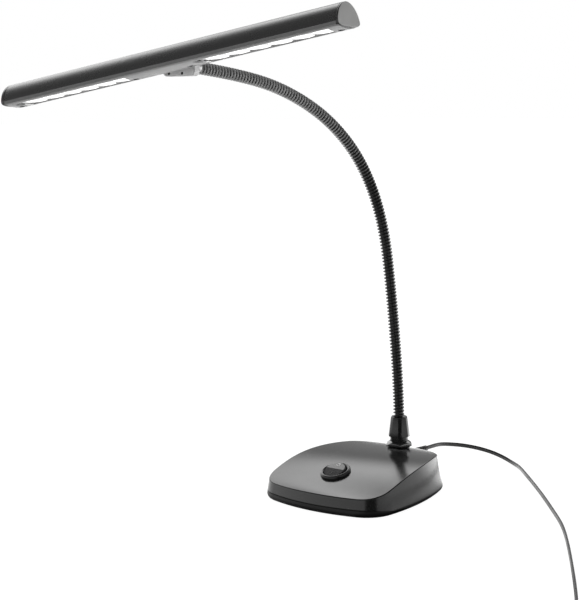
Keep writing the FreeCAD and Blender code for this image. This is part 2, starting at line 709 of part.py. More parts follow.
def sagged_plate(start, length, half, top, thick):
    """A long plate whose cross section hangs down in the middle."""
    x = start
    upper = Part.Arc(V(x, -half, top), V(x, 0, top - COVER_SAG), V(x, half, top)).toShape()
    low = top - thick
    lower = Part.Arc(V(x, half, low), V(x, 0, low - COVER_SAG), V(x, -half, low)).toShape()
    right = Part.LineSegment(V(x, half, top), V(x, half, low)).toShape()
    left = Part.LineSegment(V(x, -half, low), V(x, -half, top)).toShape()
    return Part.Face(Part.Wire([upper, right, lower, left])).extrude(V(length, 0, 0))


def underside_cover():
    half = HEAD_WIDTH / 2 - HEAD_WALL - COVER_SEAM
    plate = sagged_plate(-HOUSING_HALF, 2 * HOUSING_HALF, half, COVER_TOP, COVER_THICK)
    for start, end in (WINDOW_LEFT, WINDOW_RIGHT):
        plate = plate.cut(Part.makeBox(end - start, 2 * WINDOW_HALF, 20, V(start, -WINDOW_HALF, -10)))
    for x in SCREW_PLACES:
        plate = plate.cut(cylinder(SCREW_WELL_R, 6, V(x, 0, COVER_TOP - COVER_SAG - 6), V(0, 0, 1)))
        plate = plate.cut(cylinder(COVER_SCREW_R + SEAM, 10, V(x, 0, -5), V(0, 0, 1)))
    for x in SCREW_PLACES:
        cup = cylinder(SCREW_WELL_R + 0.9, COVER_SAG, V(x, 0, COVER_TOP - COVER_SAG), V(0, 0, 1))
        cup = cup.cut(cylinder(COVER_SCREW_R + SEAM, 10, V(x, 0, -5), V(0, 0, 1)))
        well = cylinder(SCREW_WELL_R, COVER_SAG, V(x, 0, COVER_TOP - COVER_SAG - 0.8), V(0, 0, 1))
        plate = plate.fuse(cup).cut(well)
    return placed(plate.removeSplitter(), HEAD_FRAME)


def cover_screws():
    screws = []
    for x in SCREW_PLACES:
        top = COVER_TOP - 0.8
        head = cylinder(COVER_SCREW_HEAD_R, COVER_SCREW_HEAD_H, V(x, 0, top - COVER_SCREW_HEAD_H), V(0, 0, 1))
        shank = cylinder(COVER_SCREW_R, COVER_SCREW_LENGTH - 1.0 - top, V(x, 0, top), V(0, 0, 1))
        low = top - COVER_SCREW_HEAD_H
        slot_a = Part.makeBox(3.2, 0.7, 0.8, V(x - 1.6, -0.35, low))
        slot_b = Part.makeBox(0.7, 3.2, 0.8, V(x - 0.35, -1.6, low))
        screws.append(head.fuse(shank).cut(slot_a).cut(slot_b).removeSplitter())
    return placed(group(screws), HEAD_FRAME)


def cell_places(window):
    start, end = window
    pitch = (end - start) / CELLS
    return [start + pitch * (k + 0.5) for k in range(CELLS)]


def reflector(window):
    """A row of round cups, each opening out from its lamp to the window."""
    start, end = window
    half = WINDOW_HALF - FIT
    depth = REFLECTOR_TOP - REFLECTOR_BOTTOM
    block = Part.makeBox(
        end - start - 2 * FIT, 2 * half, depth, V(start + FIT, -half, REFLECTOR_BOTTOM)
    )
    mouth = (end - start) / CELLS / 2 - CELL_RIM / 2
    for x in cell_places(window):
        cup = Part.makeCone(mouth, CELL_THROAT_R, depth, V(x, 0, REFLECTOR_BOTTOM), V(0, 0, 1))
        block = block.cut(cup)
    return placed(block.removeSplitter(), HEAD_FRAME)


def led_board(window):
    start, end = window
    corner = V(start + 1, -LED_BOARD_HALF, BOARD_Z)
    board = Part.makeBox(end - start - 2, 2 * LED_BOARD_HALF, LED_BOARD_THICK, corner)
    return placed(board, HEAD_FRAME)


def leds(window):
    lamps = []
    for x in cell_places(window):
        corner = V(x - LED_SIZE / 2, -LED_SIZE / 2, BOARD_Z - LED_H)
        lamp = Part.makeBox(LED_SIZE, LED_SIZE, LED_H, corner)
        dip = Part.makeCone(1.6, 2.0, 0.3, V(x, 0, BOARD_Z - LED_H + 0.3), V(0, 0, -1))
        lamps.append(lamp.cut(dip))
    return placed(group(lamps), HEAD_FRAME)


# ---------------------------------------------------------------- swivel, level in a frame at its pin
PIVOT = HEAD_FRAME.multVec(V(SWIVEL_X, SWIVEL_HOLE_Y, SWIVEL_Z))
REARWARD = HEAD_ROTATION.multVec(V(0, 1, 0))
SIDEWAYS = REARWARD.cross(V(0, 0, 1)).normalize()
UPWARD = SIDEWAYS.cross(REARWARD)
SWIVEL_FRAME = ring_frame(PIVOT, SIDEWAYS, REARWARD, UPWARD)
NECK_TIP = NECK_POINTS[-1]
NECK_TIP_DIRECTION = (NECK_POINTS[-1] - NECK_POINTS[-2]).normalize()
# the bracket's rear face, where the ferrule lands
REAR_FACE = SWIVEL_GAP + BRACKET_DEPTH
TO_FACE = (PIVOT + REARWARD * REAR_FACE - NECK_TIP).dot(REARWARD) / NECK_TIP_DIRECTION.dot(REARWARD)


def swivel_bracket():
    width = BRACKET_LEFT + BRACKET_RIGHT
    block = Part.makeBox(
        width,
        BRACKET_DEPTH,
        BRACKET_BELOW + BRACKET_ABOVE,
        V(-BRACKET_LEFT, SWIVEL_GAP, -BRACKET_BELOW),
    )
    corners = [e for e in block.Edges if abs(e.Vertexes[0].Y - e.Vertexes[1].Y) > 1]
    block = block.makeFillet(BRACKET_CORNER, corners)
    faces = [e for e in block.Edges if abs(e.BoundBox.YMax - e.BoundBox.YMin) < 0.01]
    block = block.makeChamfer(0.5, faces)
    block = block.cut(cylinder(SWIVEL_PIN_R, 40, V(0, -20, 0), V(0, 1, 0)))
    for x in BRACKET_SCREW_PLACES:
        drill = cylinder(BRACKET_SCREW_R, 5.0, V(x, SWIVEL_GAP - 1, BRACKET_SCREW_DROP), V(0, 1, 0))
        block = block.cut(drill)
    return placed(block.removeSplitter(), SWIVEL_FRAME)


def bracket_screws():
    screws = []
    for x in BRACKET_SCREW_PLACES:
        grub = cylinder(
            BRACKET_SCREW_R, 3.2, V(x, SWIVEL_GAP + 0.6, BRACKET_SCREW_DROP), V(0, 1, 0)
        )
        socket = cylinder(0.6, 1.0, V(x, SWIVEL_GAP + 0.6, BRACKET_SCREW_DROP), V(0, 1, 0))
        screws.append(grub.cut(socket))
    return placed(group(screws), SWIVEL_FRAME)


def swivel_pin():
    shank = cylinder(
        SWIVEL_PIN_R,
        SWIVEL_PIN_INSIDE + SWIVEL_GAP + BRACKET_DEPTH,
        V(0, -SWIVEL_PIN_INSIDE, 0),
        V(0, 1, 0),
    )
    return placed(shank, SWIVEL_FRAME)


def swivel_nut():
    y = -HEAD_WALL - FIT - SWIVEL_NUT_THICK
    nut = cylinder(SWIVEL_NUT_R, SWIVEL_NUT_THICK, V(0, y, 0), V(0, 1, 0))
    flats = Part.makeBox(4.8, 10, 20, V(-2.4, y - 2, -10))
    nut = nut.common(flats).cut(cylinder(SWIVEL_PIN_R, 20, V(0, -10, 0), V(0, 1, 0)))
    return placed(nut, SWIVEL_FRAME)


def head_ferrule():
    """A turned sleeve that joins the neck's tip to the bracket's rear face."""
    back = NECK_TIP - NECK_TIP_DIRECTION * 4.0
    sleeve = cylinder(FERRULE_R, 30.0, back, NECK_TIP_DIRECTION)
    grip = cylinder(NECK_TUBE_R, 4.0, back, NECK_TIP_DIRECTION)
    half = 40.0
    behind = Part.makeBox(2 * half, half, 2 * half, V(-half, REAR_FACE, -half))
    return sleeve.common(placed(behind, SWIVEL_FRAME)).cut(grip).removeSplitter()


# ---------------------------------------------------------------- cord, coil and plug
RELIEF_TIP = V(CORD_EXIT_X, REAR_WALL_AT_CORD + RELIEF_LENGTH, CORD_EXIT_Z)
CORD_POINTS = [RELIEF_TIP] + [V(*p) for p in CORD_ROUTE] + [V(*CORD_END)]
CORD_HEADING = (CORD_POINTS[-1] - CORD_POINTS[-2]).normalize()
COIL_HALF = COIL_STRANDS_WIDE * CORD_D / 2
COIL_HIGH = COIL_STRANDS_HIGH * CORD_D
# the cord joins and leaves the coil at its outermost strand
COIL_STRAND_R = COIL_MID_R + COIL_HALF - CORD_D / 2
COIL_CENTRE = CORD_POINTS[-1] + V(CORD_HEADING.y, -CORD_HEADING.x, 0) * COIL_STRAND_R
LEAVE = math.radians(PLUG_LEAVE_DEG)
PLUG_DIRECTION = V(math.sin(LEAVE), -math.cos(LEAVE), 0)
COIL_EDGE = V(COIL_CENTRE.x, COIL_CENTRE.y, 0) + V(math.cos(LEAVE), math.sin(LEAVE), 0) * COIL_STRAND_R
PLUG_FRAME = ring_frame(
    V(COIL_EDGE.x, COIL_EDGE.y, PLUG_BODY_THICK / 2) + PLUG_DIRECTION * PLUG_CORD,
    PLUG_DIRECTION,
    V(-PLUG_DIRECTION.y, PLUG_DIRECTION.x, 0),
    V(0, 0, 1),
)


RELIEF_INSIDE = V(
    CORD_EXIT_X, REAR_WALL_AT_CORD - CASING_WALL - RELIEF_SETBACK - RELIEF_FLANGE, CORD_EXIT_Z
)


def strain_relief():
    flange = cylinder(RELIEF_FLANGE_R, RELIEF_FLANGE, RELIEF_INSIDE, V(0, 1, 0))
    outside = V(CORD_EXIT_X, REAR_WALL_AT_CORD + SEAM, CORD_EXIT_Z)
    throat = cylinder(RELIEF_R, outside.y - RELIEF_INSIDE.y, RELIEF_INSIDE, V(0, 1, 0))
    cone = Part.makeCone(RELIEF_R, RELIEF_TIP_R, RELIEF_TIP.y - outside.y, outside, V(0, 1, 0))
    return flange.fuse([throat, cone]).removeSplitter()


def inner_cord():
    """The cord's tail inside the base: under the neck's stud and down onto the power board."""
    board_top = TRAY_FLOOR + BALLAST_H + SPACER_H + BOARD_THICK
    rear_edge = BOARD_Y + BOARD_DEPTH / 2
    points = [
        RELIEF_INSIDE,
        V(CORD_EXIT_X, NECK_Y - STUD_R, CORD_EXIT_Z),
        V(CORD_EXIT_X, rear_edge + 6, board_top + CORD_D / 2 + 1.4),
        V(CORD_EXIT_X, rear_edge - 6, board_top + CORD_D / 2),
    ]
    return tube(points, CORD_D / 2)[0]


def cord():
    solid, length, radii = tube(CORD_POINTS, CORD_D / 2)
    ideal = math.pi * (CORD_D / 2) ** 2 * length
    print("cord length", round(length, 1), "radii", [round(r, 1) for r in radii])
    print("cord volume", round(solid.Volume, 1), "section times length", round(ideal, 1))
    return solid.cut(cord_coil())


def cord_coil():
    foot = V(COIL_CENTRE.x, COIL_CENTRE.y, 0)
    outer = cylinder(COIL_MID_R + COIL_HALF, COIL_HIGH, foot, V(0, 0, 1))
    ring = outer.cut(cylinder(COIL_MID_R - COIL_HALF, COIL_HIGH, foot, V(0, 0, 1)))
    rims = [e for e in ring.Edges if e.Curve.TypeId == "Part::GeomCircle"]
    return ring.makeFillet(CORD_D / 2 - 0.1, rims)


def plug_body():
    wide, thick = PLUG_BODY_WIDTH, PLUG_BODY_THICK
    block = Part.makeBox(PLUG_BODY_LENGTH, wide, thick, V(PLUG_BOOT_LENGTH, -wide / 2, -thick / 2))
    block = block.makeFillet(4.0, [e for e in block.Edges if abs(e.BoundBox.XMax - e.BoundBox.XMin) > 1])
    shoulder = [e for e in block.Edges if e.BoundBox.XMax < PLUG_BOOT_LENGTH + 0.01]
    block = block.makeChamfer(3.0, shoulder)
    boot = Part.makeCone(RELIEF_TIP_R, RELIEF_R, PLUG_BOOT_LENGTH + 1, V(0, 0, 0), V(1, 0, 0))
    return placed(block.fuse(boot).removeSplitter(), PLUG_FRAME)


def plug_pins():
    pins = []
    end = PLUG_BOOT_LENGTH + PLUG_BODY_LENGTH
    for side in (-1, 1):
        pin = cylinder(PIN_R, PIN_LENGTH, V(end, side * PIN_SPACING / 2, 0), V(1, 0, 0))
        tip = [e for e in pin.Edges if e.BoundBox.XMin > end + PIN_LENGTH - 0.01]
        pins.append(pin.makeFillet(1.2, tip))
    return placed(group(pins), PLUG_FRAME)


def cord_tail():
    """The short end of the cord between the coil and the plug."""
    rise = PLUG_BODY_THICK / 2
    start = V(COIL_EDGE.x, COIL_EDGE.y, rise)
    return cylinder(CORD_D / 2, PLUG_CORD, start, PLUG_DIRECTION).cut(cord_coil())


# ---------------------------------------------------------------- every piece
PIECES = {
    "base_cover": base_cover,
    "base_tray": base_tray,
    "rubber_feet": rubber_feet,
    "base_screws": base_screws,
    "ballast": ballast,
    "circuit_spacers": circuit_spacers,
    "power_board": power_board,
    "inner_cord": inner_cord,
    "switch_housing": switch_housing,
    "switch_rocker": switch_rocker,
    "switch_pivot": switch_pivot,
    "switch_terminals": switch_terminals,
    "neck_nut": neck_nut,
    "neck_bush": neck_bush,
    "neck_washer": neck_washer,
    "neck_lock_nut": neck_lock_nut,
    "hex_collar": hex_collar,
    "head_ferrule": head_ferrule,
    "swivel_bracket": swivel_bracket,
    "bracket_screws": bracket_screws,
    "swivel_pin": swivel_pin,
    "swivel_nut": swivel_nut,
    "head_housing": head_housing,
    "underside_cover": underside_cover,
    "cover_screws": cover_screws,
    "strain_relief": strain_relief,
    "cord": cord,
    "cord_coil": cord_coil,
    "cord_tail": cord_tail,
    "plug_body": plug_body,
    "plug_pins": plug_pins,
}
for name, make in PIECES.items():
    save(name, make())
for number in range(len(BENDS) + 1):
    save("gooseneck_" + str(number + 1), gooseneck_span(number))
for label, side, window in (("left", -1, WINDOW_LEFT), ("right", 1, WINDOW_RIGHT)):
    save("end_cap_" + label, end_cap(side))
    save("reflector_" + label, reflector(window))
    save("led_board_" + label, led_board(window))
    save("leds_" + label, leds(window))

for number, point in enumerate(BENDS):
    print("bend", number + 1, [round(c, 3) for c in point])
print("pivot", [round(c, 3) for c in PIVOT], "rearward", [round(c, 5) for c in REARWARD])
print("sideways", [round(c, 5) for c in SIDEWAYS], "neck tip to bracket", round(TO_FACE, 2))
ROCKER_PIVOT = SWITCH_FRAME.multVec(V(0, 0, -PIVOT_DEPTH))
print("switch lean", round(SWITCH_LEAN_DEG, 3), "rocker pivot", [round(c, 3) for c in ROCKER_PIVOT])
print("coil centre", [round(c, 2) for c in COIL_CENTRE], "plug", [round(c, 2) for c in PLUG_FRAME.Base])
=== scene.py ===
import json
import math

import bpy
from mathutils import Matrix, Vector

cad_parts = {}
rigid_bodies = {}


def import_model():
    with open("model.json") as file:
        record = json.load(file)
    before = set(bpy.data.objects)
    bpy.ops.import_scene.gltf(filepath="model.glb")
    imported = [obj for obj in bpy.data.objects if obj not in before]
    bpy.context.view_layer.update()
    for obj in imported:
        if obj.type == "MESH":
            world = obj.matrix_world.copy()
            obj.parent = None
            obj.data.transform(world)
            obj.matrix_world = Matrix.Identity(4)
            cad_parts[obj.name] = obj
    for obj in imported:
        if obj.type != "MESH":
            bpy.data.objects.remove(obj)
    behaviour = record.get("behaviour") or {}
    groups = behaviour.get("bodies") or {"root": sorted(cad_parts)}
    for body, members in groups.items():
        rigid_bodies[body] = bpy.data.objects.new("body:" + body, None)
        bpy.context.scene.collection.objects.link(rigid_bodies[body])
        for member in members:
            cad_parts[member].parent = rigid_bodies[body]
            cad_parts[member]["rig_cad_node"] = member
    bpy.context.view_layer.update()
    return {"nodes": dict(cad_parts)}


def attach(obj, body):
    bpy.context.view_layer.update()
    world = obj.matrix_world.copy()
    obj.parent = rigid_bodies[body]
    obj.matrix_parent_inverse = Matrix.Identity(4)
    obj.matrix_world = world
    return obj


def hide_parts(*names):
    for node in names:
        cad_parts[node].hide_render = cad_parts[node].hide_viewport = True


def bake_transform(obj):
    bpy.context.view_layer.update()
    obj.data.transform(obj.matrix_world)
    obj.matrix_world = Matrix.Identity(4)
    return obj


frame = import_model()
nodes = frame["nodes"]

# ---- Camera.
# It stands in front of the lamp and to its right, a little lower than the head, so the
# underside of the head just shows.
CAMERA_AT = (0.865432, -1.146547, 0.384952)
CAMERA_TURN_DEG, CAMERA_DOWN_DEG, CAMERA_ROLL_DEG = 39.763, 7.642, -0.837
bpy.ops.object.camera_add(location=CAMERA_AT)
camera = bpy.context.object
aim = (
    Matrix.Rotation(math.radians(CAMERA_TURN_DEG), 3, "Z")
    @ Matrix.Rotation(math.radians(90.0 - CAMERA_DOWN_DEG), 3, "X")
    @ Matrix.Rotation(math.radians(CAMERA_ROLL_DEG), 3, "Z")
)
camera.rotation_euler = aim.to_euler()
camera.data.lens = 89.987
camera.data.sensor_width = 36.0
camera.data.clip_end = 60.0
bpy.context.scene.camera = camera
bpy.context.scene.view_settings.view_transform = "Standard"

# ---- Table and studio.
# A plain white table top and white walls, lit from a big soft light high behind the lamp's left
# side and a weak one in front. A black flag stands to the front right.
WHITE = (1.0, 1.0, 1.0, 1.0)
TABLE_SIZE = 40.0
TABLE_WHITE = (0.86, 0.86, 0.86, 1.0)
TABLE_SHADOW = 0.72
TABLE_GLOW = 1.34
FLAG_WAY = (0.782, -0.623, 0.0)
FLAG_EDGE, FLAG_CORE, FLAG_BLACK = 0.913, 0.961, 0.04
REAR_WAY = (-0.66, 0.75, 0.0)
LEFT_WAY = (-0.966, 0.259, 0.0)
REAR_WALL = 0.42
SMOOTH = "SMOOTHSTEP"


def node(tree, kind, *fed, **values):
    """One shader node with its values, fed by pairs of an output or a value and an input."""
    made = tree.nodes.new("ShaderNode" + kind)
    for key, value in values.items():
        if key in made.bl_rna.properties:
            setattr(made, key, value)
        else:
            made.inputs[key.replace("_", " ")].default_value = value
    for source, target in fed:
        if isinstance(source, bpy.types.NodeSocket):
            tree.links.new(source, made.inputs[target])
        else:
            made.inputs[target].default_value = source
    return made


def between(tree, value, near, far, low=0.0, high=1.0, kind="LINEAR"):
    """Leads from low to high while a value goes from near to far."""
    span = {"From_Min": near, "From_Max": far, "To_Min": low, "To_Max": high}
    return node(tree, "MapRange", (value, "Value"), interpolation_type=kind, **span).outputs[0]


def reckon(tree, how, first, second):
    """The sum, difference, product or greater of two values."""
    return node(tree, "Math", (first, 0), (second, 1), operation=how).outputs[0]


def along(tree, point, way):
    """How far a point lies along a direction."""
    return node(tree, "VectorMath", (point, 0), (way, 1), operation="DOT_PRODUCT").outputs["Value"]


def flagged(tree, bearing):
    """Falls to black where a direction meets the flag."""
    facing = along(tree, bearing, FLAG_WAY)
    return between(tree, facing, FLAG_EDGE, FLAG_CORE, 1.0, FLAG_BLACK, SMOOTH)


bpy.ops.mesh.primitive_plane_add(size=TABLE_SIZE, location=(0.0, 0.0, 0.0))
table = bpy.context.object
table.name = "table_top"
table_white = bpy.data.materials.new("table white")
table_white.use_nodes = True
inside = table_white.node_tree
inside.nodes.clear()
ray = node(inside, "LightPath").outputs
mirrors = reckon(inside, "MAXIMUM", ray["Is Glossy Ray"], ray["Is Transmission Ray"])
# The paint mirrors the table dark in the lamp's own shade and towards the flag, bright to the
# rear, and weaker where it looks steeply down on it.
spot = node(inside, "TexCoord").outputs["Object"]
reach = node(inside, "VectorMath", (spot, 0), operation="LENGTH").outputs["Value"]
bearing = node(inside, "VectorMath", (spot, 0), operation="NORMALIZE").outputs["Vector"]
rearward = node(inside, "SeparateXYZ", (bearing, 0)).outputs["Y"]
slant = node(inside, "LayerWeight").outputs["Facing"]
mirrored = between(inside, reach, 0.07, 0.125, 0.05, 1.25, SMOOTH)
for factor in (
    flagged(inside, bearing),
    between(inside, rearward, 0.8, 0.98, 1.0, 2.3, SMOOTH),
    between(inside, slant, 0.2, 0.8, 0.4, 1.0),
):
    mirrored = reckon(inside, "MULTIPLY", mirrored, factor)
shadow = node(inside, "Mix", (ray["Is Camera Ray"], "Factor"), (mirrors, "A"), B=TABLE_SHADOW)
strength = node(inside, "Mix", (ray["Is Camera Ray"], "Factor"), (mirrored, "A"), B=TABLE_GLOW)
cloth = node(inside, "BsdfDiffuse", Color=TABLE_WHITE).outputs[0]
glow = node(inside, "Emission", (strength.outputs["Result"], "Strength"), Color=WHITE).outputs[0]
both = node(inside, "MixShader", (shadow.outputs["Result"], 0), (cloth, 1), (glow, 2))
node(inside, "OutputMaterial", (both.outputs[0], "Surface"))
table.data.materials.append(table_white)

# The walls are white where they show. The paint mirrors a pale ring near the table, which is
# dimmer to the rear, the big soft light above it, a panel at its left and little overhead.
studio = bpy.data.worlds.new("studio")
bpy.context.scene.world = studio
studio.use_nodes = True
inside = studio.node_tree
inside.nodes.clear()
bearing = node(inside, "TexCoord").outputs["Generated"]
height = node(inside, "SeparateXYZ", (bearing, 0)).outputs["Z"]
ring = between(inside, height, 0.08, 0.28, 1.0, 0.36, SMOOTH)
rise = between(inside, height, 0.32, 0.66, 0.0, 3.0, SMOOTH)
overhead = between(inside, height, 0.74, 0.82, 1.0, 0.1, SMOOTH)
rear = between(inside, along(inside, bearing, REAR_WAY), 0.3, 0.8, 0.0, 1.0, SMOOTH)
panel = between(inside, along(inside, bearing, LEFT_WAY), 0.8, 0.9, 0.0, 1.5, SMOOTH)
low = node(inside, "Mix", (rear, "Factor"), (ring, "A"), B=REAR_WALL).outputs["Result"]
lights = reckon(inside, "ADD", reckon(inside, "MULTIPLY", rear, rise), panel)
level = reckon(inside, "MULTIPLY", reckon(inside, "ADD", low, lights), overhead)
level = reckon(inside, "MULTIPLY", level, flagged(inside, bearing))
walls = node(inside, "Background", (level, "Strength"), Color=WHITE).outputs[0]
paper = node(inside, "Background", Color=WHITE, Strength=1.0).outputs[0]
seen = node(inside, "LightPath").outputs["Is Camera Ray"]
both = node(inside, "MixShader", (seen, 0), (walls, 1), (paper, 2))
node(inside, "OutputWorld", (both.outputs[0], "Surface"))

FRONT_LIGHT_AT = (2.0, -1.4, 1.3)
FRONT_LIGHT_AIM = (0.0, 0.0, 0.2)
bpy.ops.object.light_add(type="AREA", location=FRONT_LIGHT_AT)
lamp = bpy.context.object
lamp.name = "lamp_front"
lamp.data.size = 0.8
lamp.data.energy = 3.0
lamp_way = Vector(FRONT_LIGHT_AIM) - lamp.location
lamp.rotation_euler = lamp_way.to_track_quat("-Z", "Y").to_euler()

# ---- Mains cord.
# A flat twin cord, moulded in black PVC, 4.2 mm across its two cores. It comes out of the rear
# of the base, runs round it on its edge over the table, and its spare length is wound up.
MM = 0.001
CORD_WIDTH = 4.2
LYING = CORD_WIDTH / 2
CORD_EXIT = (0.0, 111.5, 24.0)
FALLING_ROUTE = [
    CORD_EXIT, (0.0, 125.5, 24.0), (-1.6, 141.5, 22.4), (1.0, 157.0, 19.6), (8.2, 170.8, 16.7),
    (19.2, 181.4, 13.3), (33.0, 187.4, 9.5), (47.0, 187.6, 5.8), (60.6, 183.4, 2.6),
]
TABLE_ROUTE = [
    (73.6, 174.6), (90.5, 156.6), (116.7, 128.2), (150.6, 90.1), (186.3, 48.0), (211.2, 18.1),
    (229.0, -6.6), (250.0, -38.2), (277.0, -80.8), (305.0, -125.9), (331.0, -169.5),
]
COIL_CENTRE = (331.4, -238.05)
COIL_ENTRY_DEG, COIL_EXIT_DEG, COIL_STEP_DEG = 26.57, -62.0, 22.5
COIL_RADII = [30.3, 26.1, 21.9, 17.7]
COIL_SLOTS = [(r, LYING) for r in COIL_RADII]
COIL_SLOTS += [(r, LYING + CORD_WIDTH) for r in reversed(COIL_RADII)]
SHIFT_PARTS = 6
PLUG_END = (315.6, -280.77, 6.85)
LOBE_R = 1.3
LOBE_POINTS = 8
LOBE_OFFSET = CORD_WIDTH / 2 - LOBE_R


def wound_turns():
    """The coil's turns: inward on the table, up at the middle and outward again."""
    whole = 360.0 * (len(COIL_SLOTS) - 1) + COIL_ENTRY_DEG - COIL_EXIT_DEG
    count = round(whole / COIL_STEP_DEG)
    step = whole / count
    points = []
    for k in range(count):
        turned = (k + 0.5) * step
        turns, part = divmod(turned / 360.0, 1.0)
        here = COIL_SLOTS[int(turns)]
        after = COIL_SLOTS[min(int(turns) + 1, len(COIL_SLOTS) - 1)]
        # The last part of each turn shifts to the next slot.
        shift = max((part - (SHIFT_PARTS - 1) / SHIFT_PARTS) * SHIFT_PARTS, 0.0)
        shift = shift * shift * (3 - 2 * shift)
        radius = here[0] + (after[0] - here[0]) * shift
        if after[1] > here[1]:
            radius -= CORD_WIDTH * math.sin(math.pi * shift)
        height = here[1] + (after[1] - here[1]) * shift
        radius /= math.cos(math.radians(step / 2))
        angle = math.radians(COIL_ENTRY_DEG - turned)
        x = COIL_CENTRE[0] + radius * math.cos(angle)
        y = COIL_CENTRE[1] + radius * math.sin(angle)
        points.append((x, y, height))
    return points


def smooth_route(name, points, resolution):
    """A smooth curve that has these points in millimetres as its control points."""
    curve = bpy.data.curves.new(name, "CURVE")
    curve.dimensions = "3D"
    spline = curve.splines.new("NURBS")
    spline.points.add(len(points) - 1)
    for point, (x, y, z) in zip(spline.points, points):
        point.co = (x * MM, y * MM, z * MM, 1.0)
    spline.order_u = 3
    spline.use_endpoint_u = True
    spline.resolution_u = resolution
    route = bpy.data.objects.new(name, curve)
    bpy.context.scene.collection.objects.link(route)
    return route


def followed(route):
    """The points down the middle of a route."""
    bare = bpy.data.meshes.new_from_object(route)
    points = [tuple(v.co) for v in bare.vertices]
    bpy.data.meshes.remove(bare)
    return points


def only(piece):
    """Makes one object the selected and active one."""
    if bpy.context.mode != "OBJECT":
        bpy.ops.object.mode_set(mode="OBJECT")
    bpy.ops.object.select_all(action="DESELECT")
    piece.select_set(True)
    bpy.context.view_layer.objects.active = piece


cord_route = FALLING_ROUTE + [(x, y, LYING) for x, y in TABLE_ROUTE] + wound_turns() + [PLUG_END]
cord = smooth_route("mains_cord", cord_route, 6)
cord_line = followed(cord)
profile = bpy.data.curves.new("twin_profile", "CURVE")
profile.dimensions = "2D"
outline = profile.splines.new("POLY")
outline.points.add(2 * LOBE_POINTS - 1)
waist = math.asin(LOBE_OFFSET / LOBE_R)
for k, point in enumerate(outline.points):
    side, start = (1, 0.0) if k < LOBE_POINTS else (-1, math.pi)
    a = start - waist + (math.pi + 2 * waist) * (k % LOBE_POINTS) / LOBE_POINTS
    x, y = LOBE_R * math.cos(a), side * LOBE_OFFSET + LOBE_R * math.sin(a)
    point.co = (x * MM, y * MM, 0.0, 1.0)
outline.use_cyclic_u = True
twin = bpy.data.objects.new("twin_profile", profile)
bpy.context.scene.collection.objects.link(twin)
cord.data.twist_mode = "Z_UP"
cord.data.bevel_mode = "OBJECT"
cord.data.bevel_object = twin
cord.data.use_fill_caps = True
only(cord)
bpy.ops.object.convert(target="MESH")
cord = bpy.context.object
bpy.data.objects.remove(twin)

SKIN_INPUTS = [("Colour", "Color"), ("Gloss", "Float")]
SKIN_OUTPUTS = [("Colour", "Color"), ("Roughness", "Float"), ("Normal", "Vector")]


def effect(name, inputs, outputs):
    """A shader group with named sockets: the group, what it is given, its result and the spot."""
    group = bpy.data.node_groups.new(name, "ShaderNodeTree")
    for way, sockets in (("INPUT", inputs), ("OUTPUT", outputs)):
        for socket, kind in sockets:
            group.interface.new_socket(socket, in_out=way, socket_type="NodeSocket" + kind)
    given = group.nodes.new("NodeGroupInput").outputs
    result = group.nodes.new("NodeGroupOutput").inputs
    return group, given, result, node(group, "TexCoord").outputs["Object"]


def noise(tree, spot, scale, **values):
    """A cloudy value."""
    return node(tree, "TexNoise", (spot, "Vector"), (scale, "Scale"), **values).outputs["Fac"]


def put_out(group, given, result, shade, gloss, height, strength, distance):
    """Ends a surface effect: a shade over the colour, a gloss, and a height as fine relief."""
    tint = node(group, "VectorMath", (given["Colour"], 0), (shade, 1), operation="MULTIPLY")
    fine = node(group, "Bump", (height, "Height"), (strength, "Strength"), Distance=distance)
    group.links.new(tint.outputs[0], result["Colour"])
    group.links.new(gloss, result["Roughness"])
    group.links.new(fine.outputs[0], result["Normal"])


def grey(value):
    """An opaque grey."""
    return (value, value, value, 1.0)


def finish(name, colour, roughness, skin, metallic=0.0, **values):
    """A material: the plain shader under a surface effect, in one colour or one grey."""
    made = bpy.data.materials.new(name)
    made.use_nodes = True
    inside = made.node_tree
    shader = inside.nodes["Principled BSDF"]
    laid = node(inside, "Group", node_tree=skin)
    colour = (*colour, 1.0) if isinstance(colour, tuple) else grey(colour)
    plain = {"Base Color": colour, "Roughness": roughness, "Metallic": metallic}
    for key, value in {**plain, "Colour": colour, "Gloss": roughness, **values}.items():
        for owner in (shader, laid):
            if key.replace("_", " ") in owner.inputs:
                owner.inputs[key.replace("_", " ")].default_value = value
    for result, target in (
        ("Colour", "Base Color"), ("Roughness", "Roughness"), ("Normal", "Normal"),
        ("Light", "Emission Strength"),
    ):
        if result in laid.outputs:
            inside.links.new(laid.outputs[result], shader.inputs[target])
    return made


# Moulded skin: a fine leathery grain, and a slow drift of gloss and shade as plastic shows it.
moulded, given, result, spot = effect(
    "moulded_skin", SKIN_INPUTS + [("Grain size", "Float"), ("Grain depth", "Float")], SKIN_OUTPUTS
)
grain = noise(moulded, spot, given["Grain size"], Detail=3.0, Roughness=0.6)
drift = noise(moulded, spot, 38.0, Detail=2.0)
shade = between(moulded, drift, 0.3, 0.7, 0.86, 1.1)
gloss = reckon(moulded, "ADD", given["Gloss"], between(moulded, drift, 0.3, 0.7, -0.05, 0.05))
put_out(moulded, given, result, shade, gloss, grain, given["Grain depth"], 0.0004)


def settle():
    """Moves the selected piece's place, turn and scale into its mesh."""
    bpy.ops.object.transform_apply(location=True, rotation=True, scale=True)


def turn(degrees, axis):
    """A turn about an axis."""
    return Matrix.Rotation(math.radians(degrees), 4, axis)


def move(x, y, z):
    """A move in millimetres."""
    return Matrix.Translation(Vector((x, y, z)) * MM)


